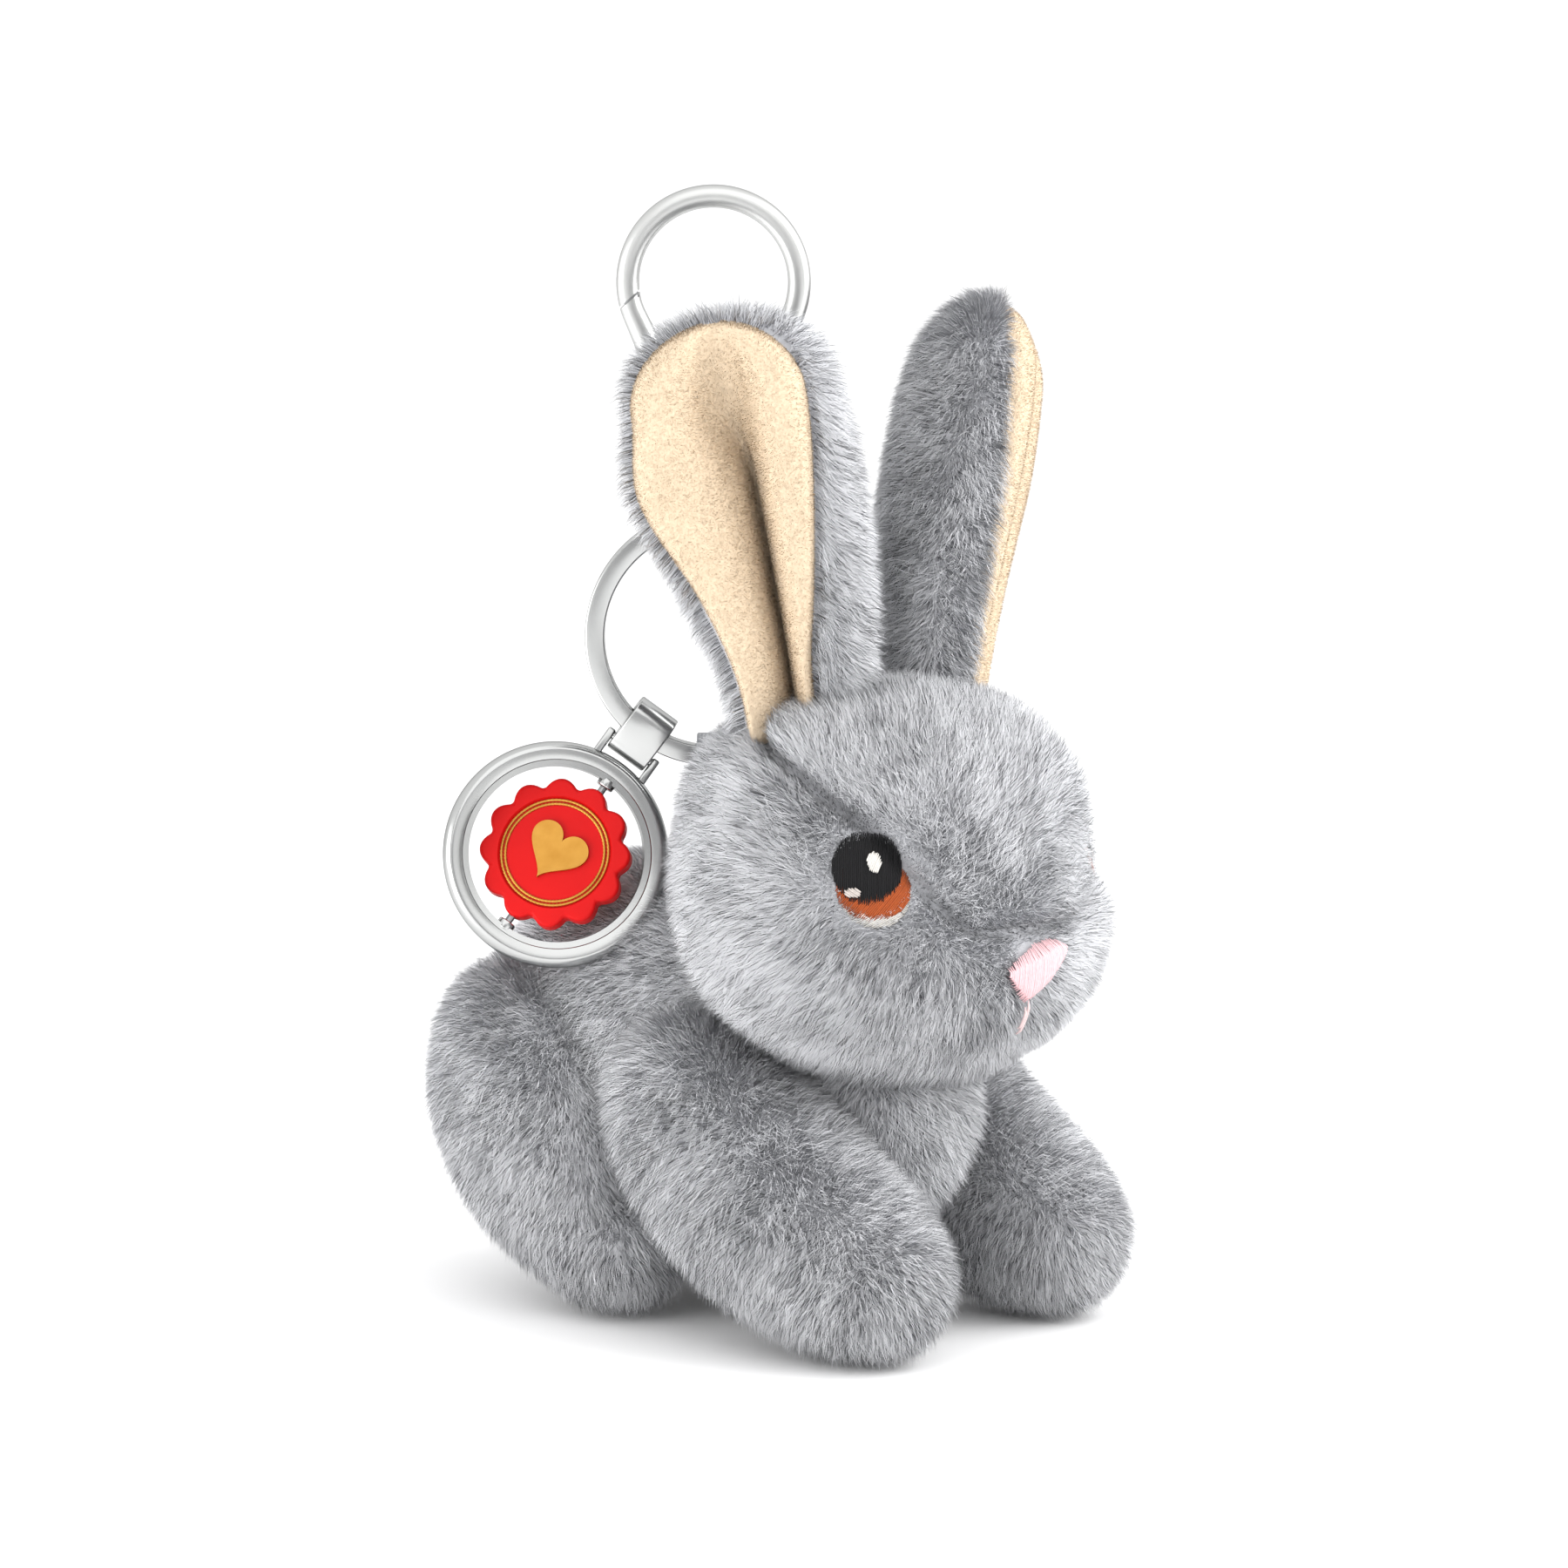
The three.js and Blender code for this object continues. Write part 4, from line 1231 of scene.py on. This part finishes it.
RABBIT = TO_WORLD @ SCALE
PILES = {  # cover: length, flow, which roots stay, what shortens it
    "head_cover": (3.5, head_flow, head_keep, head_short),
    "body_cover": (3.8, down_flow, None, None),
    "tail_cover": (3.6, down_flow, None, None),
}
STANDS_FOR = {
    "head_cover": ["head_skin", "head_filling"],
    "body_cover": ["body_skin", "body_filling"],
    "tail_cover": ["tail"],
}
COATS = [  # coat, fibres per mm2, share of the length, width, lean, straight
    ("under", 30.0, 0.78, 0.09, (14, 30), True),
    ("over", 11.2, 1.0, 0.07, (16, 46), False),
]


def coats(name, skin, material, body, place, length, seed, **ways):
    """A dense straight undercoat and a longer coat that bends over it."""
    for number, (coat, density, tall, wide, lean, straight) in enumerate(COATS):
        pile = fibres(
            f"{name}_{coat}",
            skin,
            density * DENSE,
            length * tall,
            seed=seed + number,
            wide=wide / DENSE**0.5,
            lean=lean,
            straight=straight,
            **ways,
        )
        settled(pile, material, body, place)


for number, (name, skin) in enumerate(skins.items()):
    length, flow, keep, short = PILES.get(name, (3.6, limb_flow, None, None))
    ways = {"flow": flow, "keep": keep, "shorter": short, "sunk": sunk_in_others(name)}
    if name == "head_cover":
        # Painted shade: the head's fibres are darker down in its seams.
        ways["dim"] = head_seam_shade
    coats(
        name.replace("cover", "pile"), skin, plush_pile, "rabbit", RABBIT, length, 100 + 3 * number, **ways
    )
    limb = name.replace("_cover", "")
    nodes = STANDS_FOR.get(name, [f"{limb}_skin", f"{limb}_filling"])
    finished(skin, plush_cover, "rabbit", nodes, RABBIT, 180)

# Ears: a grey back that rolls round to the front, and a puffy fleece lining in its fold.
for word, side in (("right", -1), ("left", 1)):
    place = RABBIT @ ear_place(side)
    back = ear_cushion(f"ear_{word}_back_cover", side, ear_back)
    lining = ear_cushion(f"ear_{word}_lining_cover", side, ear_lining)
    under_lining = depths(positions(back), [surface(lining)]) + 0.75
    under_lining[under_lining > 1.4] = 0  # the lining is thin, so nothing lies deeper in it
    coats(
        f"ear_{word}_pile", back, plush_pile, f"ear_{word}", place, 3.3, 200 + 10 * side,
        flow=ear_flow, keep=above_foot, sunk=under_lining, floor=EAR_FLOOR,
    )
    nap = fibres(
        f"ear_{word}_nap",
        lining,
        62.0 * DENSE,
        0.32,
        ear_flow,
        230 + side,
        sunk=depths(positions(lining), [surface(back)]) + 0.5,
        keep=above_foot,
        floor=EAR_FLOOR,
        wide=0.085 / DENSE**0.5,
        lean=(4, 14),
        clump=0.7,
        pull=0.1,
        jitter=0.9,
        straight=True,
    )
    settled(nap, fleece_pile, f"ear_{word}", place)
    finished(back, plush_cover, f"ear_{word}", [f"ear_{word}_back"], place, 180)
    finished(lining, fleece_cover, f"ear_{word}", [f"ear_{word}_lining"], place, 180)

# Eyes: white, russet and black satin stitch, with two white glints.
THREAD = 0.24
threads = {
    "black": thread_finish("black_thread", (0.006, 0.006, 0.007), 0.6),
    "russet": thread_finish("russet_thread", (0.42, 0.085, 0.018), 0.5),
    "white": thread_finish("white_thread", (0.82, 0.79, 0.74), 0.55),
    "pale": thread_finish("pale_thread", (0.62, 0.56, 0.52), 0.55),
    "pink": thread_finish("pink_thread", (0.95, 0.60, 0.63), 0.6),
    "mouth": thread_finish("mouth_thread", (0.80, 0.62, 0.62), 0.6),
}
EYE_PATCHES = [  # name, thread, middle (towards the nose, up), half sizes, thread angle, lift
    ("white_edge", "white", (0.40, -1.50), (3.88, 3.80), 0.5, 0.1),
    ("iris", "russet", (0.20, -0.95), (4.10, 3.55), 0.9, 0.3),
    ("pupil", "black", (-0.55, 1.25), (3.75, 4.10), 1.57, 0.55),
    ("glint", "white", (0.1, 1.75), (0.75, 1.15), 1.2, 0.8),
    ("low_glint", "pale", (-2.1, -1.5), (0.85, 0.5), -0.6, 0.75),
]
for word, side in (("right", -1), ("left", 1)):
    for number, (patch, thread, middle, half, angle, lift) in enumerate(EYE_PATCHES):
        centre = (side * middle[0], middle[1])
        turn = side * angle
        made = stitched(
            f"eye_{word}_{patch}", eye_ahead(side), ellipse_chords(centre, half, turn), turn, THREAD,
            lift, seed=number + 5,
        )
        nodes = [f"eye_{word}"] if patch == "pupil" else []
        finished(made, threads[thread], "rabbit", nodes, RABBIT, 180)

nose = stitched("nose_stitches", NOSE_AHEAD, nose_chords, math.pi / 2, 0.3, 0.9, crown=0.7)
finished(nose, threads["pink"], "rabbit", ["nose"], RABBIT, 180)
mouth = stitched(
    "mouth_stitches", STITCH_AHEAD, ellipse_chords((1.35, 0.35), (0.3, 2.1), math.pi / 2), math.pi / 2,
    0.34, 1.5, crown=0.3,
)
finished(mouth, threads["mouth"], "rabbit", ["mouth_stitch"], RABBIT, 180)

# ---------------------------------------------------------------- hardware

chrome = chrome_finish("bright_chrome")
satin = chrome_finish("satin_nickel", (0.60, 0.605, 0.595), 0.32)
steel = chrome_finish("spring_steel", (0.36, 0.365, 0.37), 0.3)
red_enamel = enamel_finish("red_enamel")
gold = gold_finish("gold")

CLASP = {"outer": 11.05, "band": 2.6, "thick": 3.2, "foot": 5.4, "drop": 14.95}
LEVER_THICK = 1.3  # the gate's tongue and knuckle, between the body's ears
CROWN_Z = -(CLASP["outer"] - CLASP["band"]) * 0.998
CROWN = Vector((0, 0, CROWN_Z))
FOOT_Z = CROWN_Z - CLASP["drop"]
CLASP_LEAN = math.asin((CLASP["outer"] - CLASP["foot"]) / CLASP["drop"])
JOINT_MIDDLE = Vector((-9.4, 0, -10.2))
JOINT_ALONG = Vector((4.4, 0, 3.8)).normalized()
JOINT_NORMAL = Vector((-JOINT_ALONG.z, 0, JOINT_ALONG.x))
JOINT_GAPS = {"body": 0.1, "gate": 0.16}  # how far each face stands back from the joint's middle


def arm_point(radius, centre, side):
    """Where an arm's middle line leaves the crown or meets the foot."""
    middle = radius - CLASP["band"] / 2
    return Vector((side * middle * math.cos(CLASP_LEAN), 0, centre - middle * math.sin(CLASP_LEAN)))


UPPER_LEFT = arm_point(CLASP["outer"], CROWN_Z, -1)
LOWER_LEFT = arm_point(CLASP["foot"], FOOT_Z, -1)
PIVOT = UPPER_LEFT.lerp(LOWER_LEFT, 0.84)


def band_outline(middle, way, thick=CLASP["thick"]):
    """The band's section about a point: across runs along way, in the clasp's plane."""
    corner = min(1.15, thick * 0.4)
    return [
        middle + way * across + Vector((0, through, 0))
        for across, through in rounded_outline(CLASP["band"], thick, corner, 5)
    ]


def crown_bar(name, short):
    """A bar set down on the crown, that many degrees before its left arm."""
    angle = math.pi + CLASP_LEAN - math.radians(short)
    way = Vector((math.cos(angle), 0, math.sin(angle)))
    return Bar(name, band_outline(CROWN + way * (CLASP["outer"] - CLASP["band"] / 2), way))


def clasp_body():
    """From above the slanted joint over the crown, down the right side and round the foot to the pivot."""
    short = 6.0
    bar = crown_bar("clasp_frame", short)
    bar.spin(180 + 2 * math.degrees(CLASP_LEAN) - short, CROWN, (0, 1, 0), 72)
    right_top = arm_point(CLASP["outer"], CROWN_Z, 1)
    right_foot = arm_point(CLASP["foot"], FOOT_Z, 1)
    bar.push(*(right_foot - right_top))
    bar.spin(180 - 2 * math.degrees(CLASP_LEAN), (0, 0, FOOT_Z), (0, 1, 0), 40)
    bar.push(*(PIVOT.lerp(LOWER_LEFT, 0.35) - LOWER_LEFT))
    return bar.cap()


BARREL_TOP = FOOT_Z - CLASP["foot"] + CLASP["band"]
BARREL_LONG = 4.3
frame_bar = clasp_body()
cut(
    frame_bar, JOINT_MIDDLE + JOINT_NORMAL * JOINT_GAPS["body"], -JOINT_NORMAL,
    lambda c: c.x < -4 and c.z > -16,
)
pivot_ears = [puck("pivot_ear", 1.6, 0.65, PIVOT + Vector((0, side * 1.28, 0)), "Y") for side in (-1, 1)]
barrel = puck(
    "barrel", 2.6, BARREL_LONG, (0, 0, BARREL_TOP - BARREL_LONG / 2), edge=0.35, segments=4, around=64
)
frame_bar = joined("clasp_frame", [frame_bar, *pivot_ears, barrel])
finished(frame_bar, satin, "clasp", ["clasp_body"], SCALE, 40)


def clasp_gate():
    """From the joint down the left side to a knuckle on the pivot, with a thin tongue between the ears."""
    short = 16.0
    bar = crown_bar("gate_arm", short)
    bar.spin(-short, CROWN, (0, 1, 0), 8)
    foot = UPPER_LEFT.lerp(PIVOT, 0.86)
    bar.push(*(foot - UPPER_LEFT))
    arm = bar.cap()
    # The arm widens inwards to its foot, and its outer edge stays in line with the body's.
    widening = 0.4
    points = positions(arm)
    inwards = Vector((math.cos(CLASP_LEAN), 0, math.sin(CLASP_LEAN)))
    across = (points - np.array(UPPER_LEFT)) @ np.array(inwards)
    down = ramped((UPPER_LEFT.z - points[:, 2]) / (UPPER_LEFT.z - foot.z), -0.3, 0.9)
    wider = widening * down * (1 + across / (CLASP["band"] / 2))
    reshape(arm, points + np.array(inwards) * wider[:, None])
    cut(arm, JOINT_MIDDLE - JOINT_NORMAL * JOINT_GAPS["gate"], JOINT_NORMAL, lambda c: c.z > -15)
    knuckle = puck("gate_knuckle", 1.3, LEVER_THICK, PIVOT, "Y")
    tongue = Bar("gate_tongue", band_outline(UPPER_LEFT.lerp(PIVOT, 0.8), -inwards, LEVER_THICK))
    tongue.push(*((PIVOT - UPPER_LEFT) * 0.2))
    return joined("gate_arm", [arm, knuckle, tongue.cap()])


finished(clasp_gate(), satin, "gate", ["clasp_gate"], SCALE, 40)

# The gate's hooked tip, sunk into the crown across the joint.
hook = block("gate_hook", (2.0, 2.4, 1.0), JOINT_MIDDLE, 0.15, 2, -math.radians(41))
finished(hook, steel, "gate", [], SCALE, 40)

# The swivel: a collar under the barrel and a flat eye that stands across the ring.
# The ring's wire is 3 wide in the frame; flat is how wide it shows.
RING = {"outer": 15.0, "width": 3.0, "flat": 2.3, "wire": 0.95, "pitch": 1.1, "centre": -49.0}
RING_TOP = RING["centre"] + RING["outer"]
EYE_INNER = 2.75
EYE_WIRE = 2.0
EYE_BOTTOM = RING_TOP - RING["width"] - 0.4
COLLAR_TOP = BARREL_TOP - BARREL_LONG - 0.3
COLLAR_THICK = 1.0


def swivel_eye():
    """Half an eye and its stem, mirrored, under the collar."""
    collar = puck(
        "collar", 2.4, COLLAR_THICK, (0, 0, COLLAR_TOP - COLLAR_THICK / 2), edge=0.3, segments=4, around=64
    )
    radius = EYE_INNER + EYE_WIRE / 2
    centre = Vector((0, 0, EYE_BOTTOM + EYE_INNER))
    outline = [
        Vector((through, -radius + across, centre.z))
        for across, through in rounded_outline(EYE_WIRE, EYE_WIRE, 0.6, 4)
    ]
    bar = Bar("swivel_loop", outline)
    bar.spin(180, centre, (1, 0, 0), 32)
    shoulder = Vector((0, -1.2, RING_TOP + 0.9 - centre.z))
    bar.push(*shoulder)
    bar.push(0, -1.4, COLLAR_TOP - COLLAR_THICK - (centre.z + shoulder.z))
    loop = bar.cap()
    other = loop.copy()
    other.data = loop.data.copy()
    bpy.context.scene.collection.objects.link(other)
    reshape(other, positions(other) * [1, -1, 1])
    closed_up(other)
    return joined("swivel_loop", [loop, other, collar])


swivel = swivel_eye()
finished(swivel, chrome, "swivel", ["swivel_eye"], SCALE, 40)


def split_ring():
    """Two turns of flat wire side by side, with the step from one to the other."""
    start = math.radians(48)
    middle = RING["outer"] - 0.2 - RING["flat"] / 2
    way = Vector((math.cos(start), 0, math.sin(start)))
    outline = [
        Vector((0, 0, RING["centre"])) + way * (middle + across) + Vector((0, through + RING["pitch"] / 2, 0))
        for across, through in rounded_outline(RING["flat"], RING["wire"], 0.28, 3)
    ]
    bar = Bar("split_ring_wire", outline)
    centre = (0, 0, RING["centre"])
    first_turn, crossing, second_turn, steps = 325, 35, 320, 14
    bar.spin(-first_turn, centre, (0, 1, 0), 130)
    for step in range(steps):
        low, high = (ramped(np.array(k / steps), 0, 1) for k in (step, step + 1))
        bar.spin(-crossing / steps, centre, (0, 1, 0), 1)
        bpy.ops.transform.translate(value=(0, -RING["pitch"] * float(high - low), 0))
    bar.spin(-second_turn, centre, (0, 1, 0), 128)
    return bar.cap()


finished(split_ring(), chrome, "ring", ["split_ring"], SCALE, 40)

# ---------------------------------------------------------------- charm

CHARM = {"angle": math.radians(36.3), "tilt": math.radians(14), "reach": 31.0, "lug": 16.0}
CHARM_OUTER = 13.0
CHARM_INNER = 10.1
ON_RING = Matrix.Translation((0, 0, RING["centre"])) @ Matrix.Rotation(CHARM["angle"], 4, "Y")
TILTED = ON_RING @ Matrix.Translation((0, 0, -CHARM["lug"])) @ Matrix.Rotation(-CHARM["tilt"], 4, "X")
CHARM_Z = CHARM["lug"] - CHARM["reach"]
SPINNER = TILTED @ Matrix.Translation((0, 0, CHARM_Z)) @ Matrix.Rotation(math.radians(-18), 4, "Z")


def bail_strap():
    """A stamped strap, folded round the ring's wire and closed round the cross bar."""
    wide, wall = 5.0, 0.6
    upper, lower = 2.05 - wall / 2, 1.45 - wall / 2
    upper_z = -(11.1 - wall + 2.05 - 0.2)
    narrows_z = -14.6
    outline = [
        Vector((across, upper + through, narrows_z))
        for across, through in rounded_outline(wide, wall, 0.22, 3)
    ]
    bar = Bar("strap_band", outline)
    bar.push(0, 0, upper_z - narrows_z)
    bar.spin(180, (0, 0, upper_z), (1, 0, 0), 24)
    bar.push(0, 0, narrows_z - upper_z)
    bar.push(0, upper - lower, -CHARM["lug"] - narrows_z)
    bar.spin(180, (0, 0, -CHARM["lug"]), (1, 0, 0), 20)
    bar.push(0, upper - lower, CHARM["lug"] + narrows_z)
    return bar.close()


finished(bail_strap(), chrome, "strap", ["bail_strap"], SCALE @ ON_RING, 40)


def charm_rim():
    """A rounded bead with a step inside it, turned about Y, and the two posts and bar of its lug."""
    half, bead, steps = 1.5, 1.05, 12
    step_in = [(CHARM_INNER, 0.9), (CHARM_INNER + 0.7, 1.0), (CHARM_INNER + 0.8, 1.2)]
    profile = [(radius, -through) for radius, through in step_in]
    for step in range(steps + 1):
        angle = -math.pi / 2 + math.pi * step / steps
        profile.append((CHARM_OUTER - bead + bead * math.cos(angle), half * math.sin(angle)))
    profile += step_in[::-1]
    outline = [Vector((radius, through, CHARM_Z)) for radius, through in profile]
    bar = Bar("charm_rim", outline)
    bar.spin(360, (0, 0, CHARM_Z), (0, 1, 0), 128)
    parts = [bar.close()]
    sunk, above_bar = 0.8, 0.6
    foot = CHARM_Z + CHARM_OUTER - sunk
    tall = above_bar - foot
    for side in (-1, 1):
        parts.append(block("lug_post", (0.9, 1.3, tall), (side * 3.1, 0, foot + tall / 2), 0.25, 4))
    parts.append(puck("lug_bar", 0.5, 6.9, (0, 0, 0), "X", edge=0.12, around=32))
    for side in (-1, 1):
        place = (0, 0, CHARM_Z + side * (CHARM_INNER - 0.1))
        parts.append(puck("pin_boss", 1.05, 1.1, place, edge=0.2, around=32))
    return joined("charm_rim", parts)


finished(charm_rim(), chrome, "charm", ["charm_frame"], SCALE @ TILTED, 40)

SEAL = {"radius": 8.1, "lobe": 0.65, "lobes": 12, "thick": 2.4, "hoop": 6.35, "sunk": 0.35}
SEAL_FACE = SEAL["thick"] / 2 - SEAL["sunk"]  # the sunk face, from the disc's middle


def seal_disc():
    """A scalloped disc: its edge is round and each face is sunk a little inside the gold hoop."""
    outline = []
    points = SEAL["lobes"] * 12
    for i in range(points):
        angle = 2 * math.pi * i / points
        lobe = (math.cos(SEAL["lobes"] * angle / 2) ** 2 + 0.012) ** 0.42
        radius = SEAL["radius"] + SEAL["lobe"] * (2 * lobe - 1)
        outline.append(Vector((radius * math.sin(angle), -SEAL["thick"] / 2, radius * math.cos(angle))))
    bar = Bar("seal_face", outline)
    bar.push(0, SEAL["thick"], 0)
    disc = eased(bar.cap(), 0.85, 6, 60)
    shape = bmesh.new()
    shape.from_mesh(disc.data)
    for face in sorted(shape.faces, key=lambda f: f.calc_area())[-2:]:
        bmesh.ops.inset_individual(shape, faces=[face], thickness=0.02)
        for radius, sunk in ((SEAL["hoop"] + 0.25, 0.0), (SEAL["hoop"] + 0.05, SEAL["sunk"])):
            for vertex in face.verts:
                way = Vector((vertex.co.x, 0, vertex.co.z)).normalized() * radius
                depth = math.copysign(SEAL["thick"] / 2 - sunk, vertex.co.y)
                vertex.co = (way.x, depth, way.z)
            if not sunk:
                bmesh.ops.inset_individual(shape, faces=[face], thickness=0.02)
    shape.to_mesh(disc.data)
    shape.free()
    return disc


finished(seal_disc(), red_enamel, "seal", ["seal_disc"], SCALE @ SPINNER, 35)


def gold_hoop(name, face):
    """Two fine cords of gold, one inside the other, each with a twist."""
    turns, cord, twist = 90, 0.17, 0.2
    middle_y = face * (SEAL_FACE + 0.04)
    cords = []
    for radius in (SEAL["hoop"] - 0.62, SEAL["hoop"] - 0.16):
        deselect()
        bpy.ops.mesh.primitive_torus_add(
            major_radius=radius,
            minor_radius=cord,
            major_segments=turns * 3,
            minor_segments=8,
            rotation=(math.pi / 2, 0, 0),
            location=(0, middle_y, 0),
        )
        made = started(name)
        bpy.ops.object.transform_apply(location=True, rotation=True)
        points = positions(made)
        angle = np.arctan2(points[:, 2], points[:, 0])
        middle = np.stack([radius * np.cos(angle), middle_y + 0 * angle, radius * np.sin(angle)], 1)
        reshape(made, middle + (points - middle) * (1 + twist * np.cos(turns * angle))[:, None])
        cords.append(made)
    return joined(name, cords)


def gold_heart(name, face):
    """A plain heart with a rounded face."""
    count, size, raised = 72, 0.225, 0.3
    points = []
    for i in range(count):
        t = 2 * math.pi * i / count
        x = 16 * math.sin(t) ** 3
        z = 13 * math.cos(t) - 5 * math.cos(2 * t) - 2 * math.cos(3 * t) - math.cos(4 * t)
        points.append(Vector((x * size, face * (SEAL_FACE - 0.2), z * size + raised)))
    bar = Bar(name, points)
    bar.push(0, face * 0.65, 0)
    return eased(bar.cap(), 0.3, 5, 60)


for word, face in (("front", -1), ("back", 1)):
    for kind, made_by, smooth in (("hoop", gold_hoop, 60), ("heart", gold_heart, 40)):
        made = made_by(f"gold_{kind}_{word}", face)
        finished(made, gold, "seal", [f"seal_{kind}_{word}"], SCALE @ SPINNER, smooth)

# ---------------------------------------------------------------- ribbon loop

ribbon = ribbon_finish("ribbon_weave")
WIRE_Z = RING["centre"] - RING["outer"] + RING["width"] / 2


def ribbon_loop():
    """Folded tape over the ring's wire, its two ends together down into the nape."""
    wide, wall = 4.0, 0.7
    radius = 1.75 + wall / 2
    spread = radius * 0.7  # from the closed tail out to the loop
    tail, slope, straight = 9, 4, 4
    foot = WIRE_Z - tail - slope - straight
    outline = [
        Vector((across, radius - spread + through, foot))
        for across, through in rounded_outline(wide, wall, 0.25, 3)
    ]
    bar = Bar("ribbon_fold", outline)
    bar.push(0, 0, tail)
    bar.push(0, spread, slope)
    bar.push(0, 0, straight)
    bar.spin(180, (0, 0, WIRE_Z), (1, 0, 0), 24)
    bar.push(0, 0, -straight)
    bar.push(0, spread, -slope)
    bar.push(0, 0, -tail)
    return bar.cap()


tape = ribbon_loop()
finished(tape, ribbon, "rabbit", ["hang_loop"], SCALE, 40)

for name in ("gate_pin", "gate_spring", "charm_pin_upper", "charm_pin_lower"):
    node = frame["nodes"][name]
    node.data.materials.clear()
    node.data.materials.append(steel)

# ---------------------------------------------------------------- floor

deselect()
bpy.ops.mesh.primitive_plane_add(size=6, location=(0, 0, FLOOR * MM))
floor = started("floor")
floor.data.materials.append(floor_finish())

bpy.context.scene.view_settings.view_transform = "Standard"
